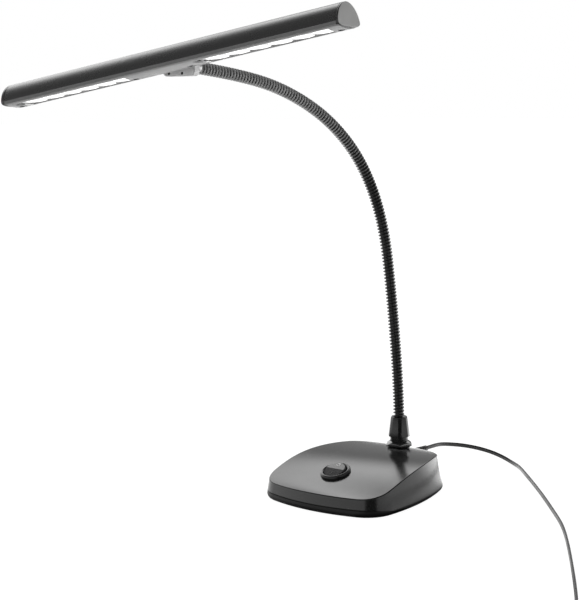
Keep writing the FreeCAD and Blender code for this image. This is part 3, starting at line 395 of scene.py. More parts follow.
def set_down(piece, place, made, slot, body, *stands_for, smooth=35.0):
    """Puts a finished piece in its place, dresses it and hands it to its body."""
    piece.matrix_world = place @ piece.matrix_world
    only(piece)
    settle()
    bpy.ops.object.shade_smooth_by_angle(angle=math.radians(smooth))
    piece.data.materials.clear()
    piece.data.materials.append(made)
    for face in piece.data.polygons:
        face.material_index = 0
    if body:
        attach(piece, body)
    if stands_for:
        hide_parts(*stands_for)


def dress(made, *names):
    """Gives CAD nodes their finish."""
    for name in names:
        for place in nodes[name].material_slots:
            place.material = made


HERE = Matrix.Identity(4)
CORD_NODES = ("cord", "cord_coil", "cord_tail")
cord_black = finish(
    "cord black", 0.01, 0.3, moulded,
    Grain_size=1500.0, Grain_depth=0.25, Specular_IOR_Level=0.3,
)
set_down(cord, HERE, cord_black, "cord_black", "base", *CORD_NODES, smooth=50.0)

# ---- Strain relief.
# A soft black sleeve moulded round the cord where it leaves the rear wall. Its grooves let it
# bend, and it tapers down to the cord.
RELIEF_ROOT = (0.0, 79.1, 24.0)
RELIEF_LENGTH = 32.4
RELIEF_R, RELIEF_TIP_R = 4.2, 2.9
FLANGE_R, FLANGE_BACK, FLANGE_FRONT = RELIEF_R + 1.8, -9.0, -7.0
GROOVES, GROOVE_START, GROOVE_PITCH, GROOVE_DEPTH = 9, 2.2, 3.0, 0.7
GROOVE_SHAPE = [(0.0, 0.0), (0.3, GROOVE_DEPTH), (1.1, GROOVE_DEPTH), (1.4, 0.0)]
WELD, CAD_WELD = 0.000002, 0.00001


def fresh(name, add, **values):
    """Adds one primitive, which alone is selected, and names it."""
    bpy.ops.object.select_all(action="DESELECT")
    add(**values)
    piece = bpy.context.object
    piece.name = name
    return piece


def lathe(name, profile, steps=48):
    """Turns a profile of (radius, height) points in millimetres about the upright axis."""
    piece = fresh(name, bpy.ops.mesh.primitive_plane_add, size=MM, location=(0.0, 0.0, 0.0))
    bpy.ops.object.mode_set(mode="EDIT")
    bpy.ops.mesh.select_mode(type="VERT")
    bpy.ops.mesh.select_all(action="SELECT")
    bpy.ops.mesh.merge(type="CENTER")
    bpy.ops.transform.translate(value=(profile[0][0] * MM, 0.0, profile[0][1] * MM))
    for (near, low), (far, high) in zip(profile, profile[1:]):
        step = ((far - near) * MM, 0.0, (high - low) * MM)
        bpy.ops.mesh.extrude_vertices_move(TRANSFORM_OT_translate={"value": step})
    bpy.ops.mesh.select_all(action="SELECT")
    bpy.ops.mesh.spin(steps=steps, angle=2 * math.pi, center=(0.0, 0.0, 0.0), axis=(0.0, 0.0, 1.0))
    bpy.ops.mesh.select_all(action="SELECT")
    bpy.ops.mesh.remove_doubles(threshold=WELD)
    bpy.ops.mesh.normals_make_consistent(inside=False)
    bpy.ops.object.mode_set(mode="OBJECT")
    return piece


sleeve = [
    (0.0, FLANGE_BACK), (FLANGE_R, FLANGE_BACK), (FLANGE_R, FLANGE_FRONT),
    (RELIEF_R, FLANGE_FRONT), (RELIEF_R, 1.0),
]
for k in range(GROOVES):
    for on, sunk in GROOVE_SHAPE:
        z = GROOVE_START + k * GROOVE_PITCH + on
        sleeve.append((RELIEF_R + (RELIEF_TIP_R - RELIEF_R) * z / RELIEF_LENGTH - sunk, z))
sleeve += [
    (RELIEF_TIP_R, RELIEF_LENGTH - 0.5), (RELIEF_TIP_R - 0.4, RELIEF_LENGTH), (0.0, RELIEF_LENGTH)
]
relief = lathe("strain_relief_sleeve", sleeve, 32)
relief_black = finish("relief black", 0.03, 0.5, moulded, Grain_size=1200.0, Grain_depth=0.3)
relief_place = move(*RELIEF_ROOT) @ turn(-90.0, "X")
set_down(relief, relief_place, relief_black, "cord_black", "base", "strain_relief")

# ---- Plug at the cord's far end.
# A small moulded two-pin plug: a black body with a boot for the cord and two brass pins, each
# sleeved at its root. It lies on the table past the coil.
plug_black = finish("plug black", 0.028, 0.42, moulded, Grain_size=1100.0, Grain_depth=0.35)
dress(plug_black, "plug_body")

# Drawn and turned metal: fine lines along or round it, and a slow dulling where it is handled.
drawn, given, result, spot = effect(
    "drawn_metal", SKIN_INPUTS + [("Line size", "Vector"), ("Line depth", "Float")], SKIN_OUTPUTS
)
stretched = node(drawn, "VectorMath", (spot, 0), (given["Line size"], 1), operation="MULTIPLY")
lines = noise(drawn, stretched.outputs[0], 1.0, Detail=4.0, Roughness=0.7)
shade = between(drawn, noise(drawn, spot, 90.0, Detail=3.0), 0.35, 0.7, 1.06, 0.8)
gloss = reckon(drawn, "ADD", given["Gloss"], between(drawn, lines, 0.3, 0.7, -0.07, 0.09))
put_out(drawn, given, result, shade, gloss, lines, given["Line depth"], 0.0002)

pin_brass = finish(
    "pin brass, nickelled", (0.72, 0.66, 0.5), 0.25, drawn, 1.0,
    Line_size=(900.0, 900.0, 900.0), Line_depth=0.1,
)
dress(pin_brass, "plug_pins")

# ---- Inside the base.
# A cast iron ballast fills the rear of the tray, and the power board stands over it on four
# brass spacers. The cord's inner end reaches the board under the neck's stud.
cast, given, result, spot = effect(
    "sand_cast", SKIN_INPUTS + [("Pit size", "Float"), ("Pit depth", "Float")], SKIN_OUTPUTS
)
pits = node(cast, "TexVoronoi", (spot, "Vector"), (given["Pit size"], "Scale"), feature="SMOOTH_F1")
stain = noise(cast, spot, 60.0, Detail=4.0)
shade = between(cast, stain, 0.3, 0.7, 0.7, 1.2)
gloss = reckon(cast, "MULTIPLY", given["Gloss"], stain)
put_out(cast, given, result, shade, gloss, pits.outputs["Distance"], given["Pit depth"], 0.0006)

ballast_iron = finish(
    "ballast iron", (0.09, 0.085, 0.08), 0.75, cast, 0.6, Gloss=1.3, Pit_size=420.0, Pit_depth=0.6
)
dress(ballast_iron, "ballast")
board_green = finish(
    "board green", (0.02, 0.12, 0.05), 0.4, moulded, Grain_size=400.0, Grain_depth=0.15
)
dress(board_green, "power_board")
spacer_brass = finish(
    "spacer brass", (0.7, 0.52, 0.26), 0.3, drawn, 1.0,
    Line_size=(300.0, 300.0, 3000.0), Line_depth=0.15,
)
dress(spacer_brass, "circuit_spacers")
dress(cord_black, "inner_cord")

# ---- Tray, feet and casing screws.
# The tray is a black moulding that closes the base from below; its front lip stands up under
# the casing. Four rubber pads are pressed into it and four screws go up into the casing.
tray_black = finish(
    "tray black", 0.01, 0.34, moulded,
    Grain_size=1300.0, Grain_depth=0.4, Specular_IOR_Level=0.22,
)
dress(tray_black, "base_tray")
foot_rubber = finish("foot rubber", 0.02, 0.8, cast, Gloss=1.6, Pit_size=900.0, Pit_depth=0.3)
dress(foot_rubber, "rubber_feet")
screw_steel = finish(
    "screw steel", (0.36, 0.36, 0.37), 0.32, drawn, 1.0,
    Line_size=(700.0, 700.0, 700.0), Line_depth=0.15,
)
dress(screw_steel, "base_screws")

# ---- Casing.
# One pressed shell in black satin powder paint. Its top sweeps up from the low front edge to
# the neck, and its walls lean in a little; the edge between them is rounded by the paint.
paint, given, result, spot = effect(
    "powder_paint",
    SKIN_INPUTS + [("Fleck size", "Float"), ("Fleck", "Float"), ("Peel depth", "Float")],
    SKIN_OUTPUTS,
)
flecks = noise(paint, spot, given["Fleck size"], Detail=2.0, Roughness=0.75)
amount = reckon(paint, "MULTIPLY", reckon(paint, "SUBTRACT", flecks, 0.5), given["Fleck"])
shade = reckon(paint, "ADD", amount, 1.0)
clouds = between(paint, noise(paint, spot, 16.0, Detail=3.0), 0.3, 0.7, -0.03, 0.03)
gloss = reckon(paint, "ADD", given["Gloss"], clouds)
gloss = reckon(paint, "ADD", gloss, reckon(paint, "MULTIPLY", amount, -0.12))
put_out(paint, given, result, shade, gloss, flecks, given["Peel depth"], 0.00025)

LIP_LINE_Z = (0.008, 0.0085)
LIP_STEP_Y = (-0.068, -0.064)
EDGE_SLOPE = (0.2, 0.88)
EDGE_LOWEST_Z = 0.012
casing_paint = finish(
    "casing paint", (0.012, 0.0125, 0.012), 0.17, paint,
    Fleck_size=900.0, Fleck=1.2, Peel_depth=0.1,
)
dress(casing_paint, "base_cover")
# In front, a fine line just above the tray's lip, where the casing turns in, mirrors nothing.
foot = casing_paint.node_tree
spot = node(foot, "SeparateXYZ", (node(foot, "TexCoord").outputs["Object"], "Vector")).outputs
above = between(foot, spot["Z"], *LIP_LINE_Z)
shown = reckon(foot, "MAXIMUM", above, between(foot, spot["Y"], *LIP_STEP_Y))
mirroring = between(foot, shown, 0.0, 1.0, 0.04, 0.5)
foot.links.new(mirroring, foot.nodes["Principled BSDF"].inputs["Specular IOR Level"])


def repaint(mesh, made, chosen):
    """Gives the faces that are chosen a further finish."""
    mesh.materials.append(made)
    for face in mesh.polygons:
        if chosen(face):
            face.material_index = len(mesh.materials) - 1


def on_edge(face):
    """The faces of the round along the top's edge."""
    return EDGE_SLOPE[0] < face.normal.z < EDGE_SLOPE[1] and face.center.z > EDGE_LOWEST_Z


# The round along the top's edge is painted near black and less reflective: a painted dark
# reflection that shows as a fine dark line.
edge_painted_dark = finish(
    "edge black, painted dark reflection", 0.004, 0.3, paint,
    Fleck_size=900.0, Fleck=0.3, Peel_depth=0.05, Specular_IOR_Level=0.15,
)
repaint(nodes["base_cover"].data, edge_painted_dark, on_edge)

# ---- Switch.
# A round snap-in rocker switch of black plastic, pressed into the sloping front of the casing.
# Its rocker has a front and a rear face that meet in a ridge, with I and O moulded on them.
SWITCH_AT = (0.0, -41.0, 29.002)
SWITCH_LEAN_DEG = 16.229
BEZEL_R, BEZEL_FOOT, BEZEL_H = 14.8, 1.5, 3.4
WELL_R, WELL_DEPTH = 11.4, 11.0
BARREL_R, BARREL_DEPTH = 12.6, 15.0
BEZEL_STEPS = 12
RIDGE_H = 4.6
REAR_FACE_DEG, FRONT_FACE_DEG = 5.0, 16.0
OFF_AT, ON_AT = 6.6, -6.0
OFF_RING = [
    (1.5, -0.1), (2.15, -0.1), (2.15, 0.09), (2.05, 0.12), (1.6, 0.12), (1.5, 0.09), (1.5, -0.1)
]
ON_BAR = (0.7, 3.6, 0.2)
switch_place = move(*SWITCH_AT) @ turn(SWITCH_LEAN_DEG, "X")
switch_black = finish("switch black", 0.008, 0.28, moulded, Grain_size=1600.0, Grain_depth=0.12)
ring_middle, ring_half = (BEZEL_R + WELL_R) / 2, (BEZEL_R - WELL_R) / 2
shell = [(BARREL_R, 0.0), (BEZEL_R, 0.0), (BEZEL_R, BEZEL_FOOT)]
for k in range(1, BEZEL_STEPS):
    a = math.pi * k / BEZEL_STEPS
    height = BEZEL_FOOT + (BEZEL_H - BEZEL_FOOT) * math.sin(a)
    shell.append((ring_middle + ring_half * math.cos(a), height))
shell += [
    (WELL_R, BEZEL_FOOT), (WELL_R, -WELL_DEPTH), (0.0, -WELL_DEPTH), (0.0, -BARREL_DEPTH),
    (BARREL_R, -BARREL_DEPTH), (BARREL_R, 0.0),
]
housing_ring = lathe("switch_housing_ring", shell, 96)
set_down(housing_ring, switch_place, switch_black, "switch_black", "base", "switch_housing")


def rounded(piece, width, segments=3, above=30.0):
    """Rounds the sharp edges of a piece."""
    only(piece)
    edge = piece.modifiers.new("edge", "BEVEL")
    edge.width = width * MM
    edge.segments = segments
    edge.limit_method = "ANGLE"
    edge.angle_limit = math.radians(above)
    bpy.ops.object.modifier_apply(modifier=edge.name)


rocker_black = finish("rocker black", 0.008, 0.16, moulded, Grain_size=1600.0, Grain_depth=0.1)
dress(rocker_black, "switch_rocker")
mark_white = finish("mark white", 0.85, 0.4, moulded, Grain_size=1600.0, Grain_depth=0.05)
mark_dim = finish("mark dim", 0.05, 0.4, moulded, Grain_size=1600.0, Grain_depth=0.05)
ridge = switch_place @ move(0.0, 0.0, RIDGE_H)
off_mark = lathe("mark_off", OFF_RING)
off_place = ridge @ move(-0.4, 0.0, 0.0) @ turn(REAR_FACE_DEG, "X") @ move(0.0, OFF_AT, 0.0)
set_down(off_mark, off_place, mark_white, None, "rocker")
on_mark = fresh("mark_on", bpy.ops.mesh.primitive_cube_add, size=MM, location=(0.0, 0.0, 0.0))
bpy.ops.transform.resize(value=ON_BAR)
settle()
rounded(on_mark, 0.06)
on_place = ridge @ turn(FRONT_FACE_DEG, "X") @ move(0.0, ON_AT, 0.0)
set_down(on_mark, on_place, mark_dim, None, "rocker")
pin_steel = finish(
    "pin steel", 0.5, 0.28, drawn, 1.0, Line_size=(300.0, 3000.0, 3000.0), Line_depth=0.1
)
dress(pin_steel, "switch_pivot", "swivel_pin")
terminal_brass = finish(
    "terminal brass", (0.68, 0.55, 0.3), 0.3, drawn, 1.0,
    Line_size=(2000.0, 500.0, 300.0), Line_depth=0.1,
)
dress(terminal_brass, "switch_terminals")

# ---- Neck fittings.
# A flanged hexagon nut holds the neck's threaded bush to the casing, and a tapered hexagon
# collar grips the neck above it. All three are turned steel, blackened.
NECK_Y = 63.6
SEAT_Z = 34.6
NUT_HEX_R, NUT_FLANGE_R, NUT_H = 13.0, 14.5, 6.7
BUSH_R, BUSH_BORE_R, BUSH_H = 9.0, 3.4, 4.8
STUD_R, STUD_DEPTH = 5.9, 14.1
COLLAR_Z = SEAT_Z + NUT_H + BUSH_H
COLLAR_H = 20.2
COLLAR_LOW_R, COLLAR_HIGH_R = 12.2, 9.3
COLLAR_FACING_DEG = -51.0
COLLAR_SPARE = 6.0
CORNER_CUT = 1.15
COLLAR_TURNED_H = 24.0
DRILL_SPARE = 2.0
NECK_R = 5.4
neck_axis = move(0.0, NECK_Y, 0.0)
fitting_black = finish(
    "fitting black", 0.018, 0.17, paint, 0.3, Fleck_size=1500.0, Fleck=0.9, Peel_depth=0.1
)
zinc_steel = finish(
    "zinc plate", (0.55, 0.55, 0.52), 0.35, drawn, 1.0,
    Line_size=(500.0, 500.0, 2500.0), Line_depth=0.15,
)
dress(zinc_steel, "neck_washer", "neck_lock_nut")


def boolean(piece, tool, kind):
    """Cuts a piece with a tool, or keeps what both share, and throws the tool away."""
    only(piece)
    cut = piece.modifiers.new("cut", "BOOLEAN")
    cut.operation = kind
    cut.solver = "EXACT"
    cut.object = tool
    bpy.ops.object.modifier_apply(modifier=cut.name)
    bpy.data.objects.remove(tool)


def hexagon(name, low_r, high_r, low, high, twist=0.0):
    """A hexagon prism or taper with its first corner on the facing line, or turned from it."""
    piece = fresh(
        name, bpy.ops.mesh.primitive_cone_add,
        vertices=6,
        radius1=low_r * MM,
        radius2=high_r * MM,
        depth=(high - low) * MM,
        location=(0.0, 0.0, (low + high) / 2 * MM),
        rotation=(0.0, 0.0, math.radians(COLLAR_FACING_DEG - 90.0 + twist)),
    )
    settle()
    return piece


def drill(piece, radius, low, high):
    """Drills a round hole down the middle of a piece, from past one end to past the other."""
    drum = fresh(
        "drum", bpy.ops.mesh.primitive_cylinder_add,
        vertices=64,
        radius=radius * MM,
        depth=(high - low + 2 * DRILL_SPARE) * MM,
        location=(0.0, 0.0, (low + high) / 2 * MM),
    )
    settle()
    boolean(piece, drum, "DIFFERENCE")


nut_top = SEAT_Z + NUT_H
nut = hexagon("flange_nut", NUT_HEX_R + 1.1, NUT_HEX_R + 1.1, SEAT_Z, nut_top)
nut_profile = [
    (0.0, SEAT_Z), (NUT_HEX_R - 2.2, SEAT_Z), (NUT_HEX_R - 1.2, SEAT_Z + 1.6),
    (NUT_FLANGE_R, SEAT_Z + 2.5), (NUT_FLANGE_R, SEAT_Z + 3.4), (BUSH_R + 0.7, nut_top),
    (0.0, nut_top),
]
boolean(nut, lathe("turned", nut_profile), "INTERSECT")
drill(nut, STUD_R, SEAT_Z, nut_top)
rounded(nut, 0.22)
nut_black = finish(
    "nut black", 0.14, 0.12, paint, 0.85, Fleck_size=1500.0, Fleck=0.6, Peel_depth=0.06
)
set_down(nut, neck_axis, nut_black, "neck_fitting", "base", "neck_nut")

z = nut_top
bush_profile = [
    (BUSH_BORE_R, z - STUD_DEPTH), (STUD_R, z - STUD_DEPTH), (STUD_R, z), (BUSH_R - 0.3, z),
    (BUSH_R, z + 0.3), (BUSH_R, z + 1.5), (BUSH_R - 0.5, z + 1.7), (BUSH_R - 0.5, z + 2.3),
    (BUSH_R, z + 2.5), (BUSH_R, z + BUSH_H - 0.4), (BUSH_R - 0.4, z + BUSH_H),
    (BUSH_BORE_R, z + BUSH_H), (BUSH_BORE_R, z - STUD_DEPTH),
]
bush = lathe("neck_bush_turned", bush_profile)
set_down(bush, neck_axis, fitting_black, "neck_fitting", "base", "neck_bush")

# The collar is cut from a longer taper: its corners are flattened and its ends turned round.
taper = (COLLAR_LOW_R - COLLAR_HIGH_R) / COLLAR_H
blank_low_r = COLLAR_LOW_R + COLLAR_SPARE * taper
blank_high_r = COLLAR_HIGH_R - COLLAR_SPARE * taper
blank_ends = (COLLAR_Z - COLLAR_SPARE, COLLAR_Z + COLLAR_H + COLLAR_SPARE)
collar = hexagon("tapered_collar", blank_low_r, blank_high_r, *blank_ends)
apothem = math.cos(math.radians(30.0))
flats_radii = ((blank_low_r - CORNER_CUT) / apothem, (blank_high_r - CORNER_CUT) / apothem)
boolean(collar, hexagon("flats", *flats_radii, *blank_ends, 30.0), "INTERSECT")
low_r, high_r, top = COLLAR_LOW_R + 1.6, COLLAR_HIGH_R - 1.0, COLLAR_Z + COLLAR_H
slope = (low_r - high_r) / COLLAR_TURNED_H
collar_profile = [
    (0.0, COLLAR_Z), (COLLAR_LOW_R - 0.6, COLLAR_Z), (COLLAR_LOW_R + 0.4, COLLAR_Z + 1.0),
    (low_r - slope * (top - 1.4 - COLLAR_Z + 0.6), top - 1.4), (high_r - 0.9, top), (0.0, top),
]
boolean(collar, lathe("turned", collar_profile), "INTERSECT")
drill(collar, NECK_R, COLLAR_Z, top)
rounded(collar, 0.28)
set_down(collar, neck_axis, fitting_black, "neck_fitting", "base", "hex_collar")

# ---- Flexible neck.
# Two wires wound into each other make a metal hose that stays where it is bent: a round outer
# wire whose turns show as rings, over a plain inner winding. It is finished black.
NECK_HEADING_DEG = -8.0
NECK_START = 46.1
NECK_ROUTE = [
    (0.0, NECK_START), (0.0, 88.0), (9.2, 185.0), (20.8, 263.9), (48.6, 322.5), (91.7, 364.7),
    (148.1, 393.3), (205.3, 407.2), (254.0, 413.2),
]
RING_TURNS = [42, 22, 19, 19, 18, 32]
RING_R = 5.7
RING_HALF = 0.88
RING_RISE = 1.4
CORE_R = 3.8
BEND_REACH = 22.0
# Height band over which the rings' painted highlight comes in.
HIGHLIT_RINGS_Z = (0.3, 0.39)
NECK_METALLIC = 0.85

heading = math.radians(NECK_HEADING_DEG)
neck_points = [
    (math.sin(heading) * reach, NECK_Y - math.cos(heading) * reach, height)
    for reach, height in NECK_ROUTE
]
neck_route = smooth_route("neck_route", neck_points, 24)
neck_line = followed(neck_route)
neck_length = sum((Vector(a) - Vector(b)).length for a, b in zip(neck_line, neck_line[1:]))
pitch = neck_length / sum(RING_TURNS)
neck_black = finish(
    "neck black", 0.1, 0.26, drawn, NECK_METALLIC, Line_size=(400.0, 400.0, 400.0), Line_depth=0.06
)


def mix_greys(tree, share, first, second):
    """Leads from one grey to another."""
    greys = ((grey(first), 6), (grey(second), 7))
    return node(tree, "Mix", (share, "Factor"), *greys, data_type="RGBA").outputs[2]


# Towards the head the rings turn a light grey and less metallic: a painted highlight for the light
# arcs on their crests.
lit_rings_tree = neck_black.node_tree
spot = node(lit_rings_tree, "SeparateXYZ", (node(lit_rings_tree, "TexCoord").outputs["Object"], "Vector")).outputs
highlit_share = between(lit_rings_tree, spot["Z"], *HIGHLIT_RINGS_Z)
lit_rings_tree.links.new(mix_greys(lit_rings_tree, highlit_share, 0.055, 0.43), lit_rings_tree.nodes["Group"].inputs["Colour"])
highlit_metallic = between(lit_rings_tree, highlit_share, 0.0, 1.0, NECK_METALLIC, 0.2)
lit_rings_tree.links.new(highlit_metallic, lit_rings_tree.nodes["Principled BSDF"].inputs["Metallic"])
# The inner winding is near black and not metallic, unlike the rings: a painted shade in the gaps
# between them.
core_shade_black = finish(
    "neck core, painted shade", 0.006, 0.5, drawn, Line_size=(400.0, 400.0, 400.0), Line_depth=0.08
)


def wound_stretch(name, start, turns):
    """So many turns of ring wire over the inner winding, bent along the neck's route."""
    wire = fresh(
        name, bpy.ops.mesh.primitive_circle_add,
        vertices=10,
        radius=MM,
        location=((RING_R - RING_RISE) * MM, 0.0, start),
        rotation=(math.radians(90.0), 0.0, 0.0),
    )
    bpy.ops.object.mode_set(mode="EDIT")
    bpy.ops.transform.resize(value=(RING_RISE, 1.0, RING_HALF))
    bpy.ops.object.mode_set(mode="OBJECT")
    settle()
    winding = wire.modifiers.new("winding", "SCREW")
    winding.axis = "Z"
    winding.angle = 2 * math.pi
    winding.screw_offset = pitch
    winding.iterations = turns
    winding.steps = winding.render_steps = 26
    winding.use_merge_vertices = False
    bpy.ops.object.modifier_apply(modifier=winding.name)
    bpy.ops.object.mode_set(mode="EDIT")
    bpy.ops.mesh.select_mode(type="EDGE")
    bpy.ops.mesh.select_all(action="DESELECT")
    bpy.ops.mesh.select_non_manifold()
    bpy.ops.mesh.edge_face_add()
    bpy.ops.mesh.select_all(action="SELECT")
    bpy.ops.mesh.normals_make_consistent(inside=False)
    bpy.ops.object.mode_set(mode="OBJECT")

    core = fresh(
        name.replace("rings", "core"), bpy.ops.mesh.primitive_cylinder_add,
        vertices=20,
        radius=CORE_R * MM,
        depth=turns * pitch,
        location=(0.0, 0.0, start + turns * pitch / 2),
    )
    settle()
    bpy.ops.object.mode_set(mode="EDIT")
    bpy.ops.mesh.select_mode(type="EDGE")
    bpy.ops.mesh.select_all(action="DESELECT")
    bpy.ops.object.mode_set(mode="OBJECT")
    for edge in core.data.edges:
        a, b = (core.data.vertices[i].co for i in edge.vertices)
        edge.select = abs(a.z - b.z) > pitch
    bpy.ops.object.mode_set(mode="EDIT")
    bpy.ops.mesh.subdivide(number_cuts=turns - 1)
    bpy.ops.object.mode_set(mode="OBJECT")
    for piece in (wire, core):
        only(piece)
        bent = piece.modifiers.new("bent", "CURVE")
        bent.object = neck_route
        bent.deform_axis = "POS_Z"
        bpy.ops.object.modifier_apply(modifier=bent.name)
    return wire, core


start = 0.0
for k, turns in enumerate(RING_TURNS):
    rings, core = wound_stretch("neck_rings_" + str(k + 1), start, turns)
    start += turns * pitch
    stands_for = ["gooseneck_" + str(k + 1)]
    if k == len(RING_TURNS) - 1:
        stands_for.append("gooseneck_7")
    set_down(rings, HERE, neck_black, "neck_black", None, *stands_for, smooth=50.0)
    set_down(core, HERE, core_shade_black, "neck_black", None, smooth=50.0)
    before, after = Vector(neck_points[k + 1]), Vector(neck_points[k + 2])
    reach = (after - before).normalized() * BEND_REACH * MM
    for piece in (rings, core):
        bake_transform(piece)
bpy.data.objects.remove(neck_route)

# ---- Swivel between neck and head.
# A bright ferrule ends the neck in a small cast bracket, which carries the head on a pin and a
# flat nut and has two black grub screws in its lower edge.
bracket_grey = finish(
    "bracket grey", 0.66, 0.36, paint, 0.35, Fleck_size=1100.0, Fleck=0.35, Peel_depth=0.1
)
dress(bracket_grey, "swivel_bracket")
grub_black = finish(
    "grub black", 0.02, 0.4, drawn, 0.6, Line_size=(900.0, 900.0, 900.0), Line_depth=0.1
)
dress(grub_black, "bracket_screws")
ferrule_steel = finish(
    "ferrule steel", 0.82, 0.18, drawn, 1.0, Line_size=(900.0, 2500.0, 900.0), Line_depth=0.06
)
dress(ferrule_steel, "head_ferrule")
dress(zinc_steel, "swivel_nut")

# ---- Head housing and end caps.
# A black extruded bar with a vaulted back and two upright skirts, grey at their foot. A cap
# closes each end: its face is satin grey, its edge black like the bar.
HEAD_PLACE = (-36.3, -217.2, 412.1)
HEAD_TURN_DEG, HEAD_ROLL_DEG, HEAD_TIP_DEG = 7.45, -9.5, -1.8
HEAD_WIDTH, HEAD_H = 34.6, 19.0
SKIRT_H, SKIRT_WALL = 2.85, 0.4
CAP_SAG = 1.35
CAP_INNER_X = 177.0
CAP_RIGHT, CAP_LEFT = 2.0, 3.9
CAP_STEPS = 24
CAP_FACING = 0.95
head_turn = turn(HEAD_TURN_DEG, "Z") @ turn(HEAD_ROLL_DEG, "Y") @ turn(HEAD_TIP_DEG, "X")
head_place = move(*HEAD_PLACE) @ head_turn
along_head, across_head, head_up = (head_place.to_3x3() @ Vector(w) for w in Matrix.Identity(3))
bar_black = finish(
    "bar black", 0.004, 0.27, paint,
    Fleck_size=1300.0, Fleck=0.5, Peel_depth=0.06,
    Specular_IOR_Level=0.85, Sheen_Weight=0.2, Sheen_Roughness=0.35,
)
dress(bar_black, "head_housing")
skirt_grey = finish("skirt grey", 0.15, 0.36, paint, Fleck_size=1300.0, Fleck=0.5, Peel_depth=0.06)
from_head = head_place.inverted()


def on_skirt(face):
    """The faces of the skirts' outer walls."""
    middle = from_head @ face.center
    return middle.z < SKIRT_H * MM and abs(middle.y) > (HEAD_WIDTH / 2 - SKIRT_WALL) * MM


repaint(nodes["head_housing"].data, skirt_grey, on_skirt)
cap_grey = finish(
    "cap grey", (0.46, 0.46, 0.455), 0.45, moulded, Grain_size=1500.0, Grain_depth=0.15
)


def end_cap(name, inner, outer, node_name):
    """A moulded cap: the bar's outline with a rounded, sagging lower edge, its rim rounded off."""
    rim = []
    for k in range(CAP_STEPS):
        a = math.pi * k / CAP_STEPS
        height = SKIRT_H + (HEAD_H - SKIRT_H) * math.sin(a) ** 1.25
        rim.append((HEAD_WIDTH / 2 * math.cos(a), height))
    for k in range(CAP_STEPS):
        a = math.pi * k / CAP_STEPS
        across = math.copysign(abs(math.cos(a)) ** (2 / 3), -math.cos(a))
        height = SKIRT_H - (SKIRT_H + CAP_SAG) * math.sin(a) ** (2 / 3)
        rim.append((HEAD_WIDTH / 2 * across, height))
    cap = fresh(
        name, bpy.ops.mesh.primitive_circle_add,
        vertices=len(rim), radius=MM, fill_type="NGON", location=(0.0, 0.0, 0.0),
    )
    for vertex, (y, z) in zip(cap.data.vertices, rim):
        vertex.co = (inner * MM, y * MM, z * MM)
    bpy.ops.object.mode_set(mode="EDIT")
    bpy.ops.mesh.select_all(action="SELECT")
    thickness = ((outer - inner) * MM, 0.0, 0.0)
    bpy.ops.mesh.extrude_region_move(TRANSFORM_OT_translate={"value": thickness})
    bpy.ops.mesh.select_all(action="SELECT")
    bpy.ops.mesh.normals_make_consistent(inside=False)
    bpy.ops.object.mode_set(mode="OBJECT")
    rounded(cap, 0.55, 3, 60.0)
    set_down(cap, head_place, bar_black, "bar_black", "head", node_name)
    repaint(cap.data, cap_grey, lambda face: abs(face.normal.dot(along_head)) > CAP_FACING)


end_cap("cap_right", CAP_INNER_X, CAP_INNER_X + CAP_RIGHT, "end_cap_right")
end_cap("cap_left", -CAP_INNER_X, -CAP_INNER_X - CAP_LEFT, "end_cap_left")

# ---- Underside cover.
# A slightly sagging strip of satin grey plastic between the skirts, with a long window at each
# end. Both windows have a dark ramp at their left end, and four screws hold the strip.
SKIRT_SHADE_SPAN = (-0.016, -0.0125)
COVER_LOW_Z = -1.1
RAMP_STARTS = (-163.2, 39.8)
RAMP_LENGTH = 7.5
RAMP_HALF = 11.6
RAMP_REAR_NEAR, RAMP_REAR_FAR = -7.5, -0.5
RAMP_RISE_NEAR, RAMP_RISE_FAR = 0.4, 3.4
RAMP_THICK, RAMP_GAP = 0.5, 0.05
cover_grey = finish("cover grey", 0.3, 0.32, moulded, Grain_size=1400.0, Grain_depth=0.15)
# Its colour is near black at the front edge, where it runs in under the skirt, and light grey
# behind: a painted shade under the skirt.
shaded_cover = cover_grey.node_tree
across = along(shaded_cover, node(shaded_cover, "TexCoord").outputs["Object"], across_head)
middle = across_head.dot(Vector(HEAD_PLACE) * MM)
skirt_shade = between(shaded_cover, across, *(middle + edge for edge in SKIRT_SHADE_SPAN))
shaded_cover.links.new(mix_greys(shaded_cover, skirt_shade, 0.008, 0.6), shaded_cover.nodes["Group"].inputs["Colour"])
only(nodes["underside_cover"])
bpy.ops.object.duplicate()
cover = bpy.context.object
cover.name = "underside_strip"
del cover["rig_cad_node"]
bpy.ops.object.mode_set(mode="EDIT")
bpy.ops.mesh.select_all(action="SELECT")
bpy.ops.mesh.remove_doubles(threshold=CAD_WELD)
bpy.ops.object.mode_set(mode="OBJECT")
ramp_black = finish(
    "ramp black", 0.01, 0.5, moulded, Grain_size=1400.0, Grain_depth=0.2, Specular_IOR_Level=0.2
)


def ramp(name, start, below, rise, thick, margin):
    """A slab that climbs to a window's left end, its foot by a share; its rear side is aslant."""
    slab = fresh(name, bpy.ops.mesh.primitive_cube_add, size=MM, location=(0.0, 0.0, 0.0))
    for vertex in slab.data.vertices:
        far_end, rear, upper = (c > 0 for c in vertex.co)
        x = start + margin if far_end else start - RAMP_LENGTH - margin
        rear_y = (RAMP_REAR_FAR if far_end else RAMP_REAR_NEAR) + margin
        climb = (RAMP_RISE_FAR if far_end else RAMP_RISE_NEAR) * (1 if upper else rise)
        z = COVER_LOW_Z + below + climb + (thick if upper else 0)
        vertex.co = (x * MM, (rear_y if rear else -RAMP_HALF - margin) * MM, z * MM)
    slab.matrix_world = head_place
    only(slab)
    settle()
    return slab


for k, start in enumerate(RAMP_STARTS):
    boolean(cover, ramp("cutter", start, -3.0, 0, 6.0, 0.0), "DIFFERENCE")
    slab = ramp("window_ramp_" + str(k + 1), start, 0.0, 1, RAMP_THICK, -RAMP_GAP)
    rounded(slab, 0.08, 2)
    set_down(slab, HERE, ramp_black, "bar_black", "head")
set_down(cover, HERE, cover_grey, "cover_grey", "head", "underside_cover", smooth=25.0)

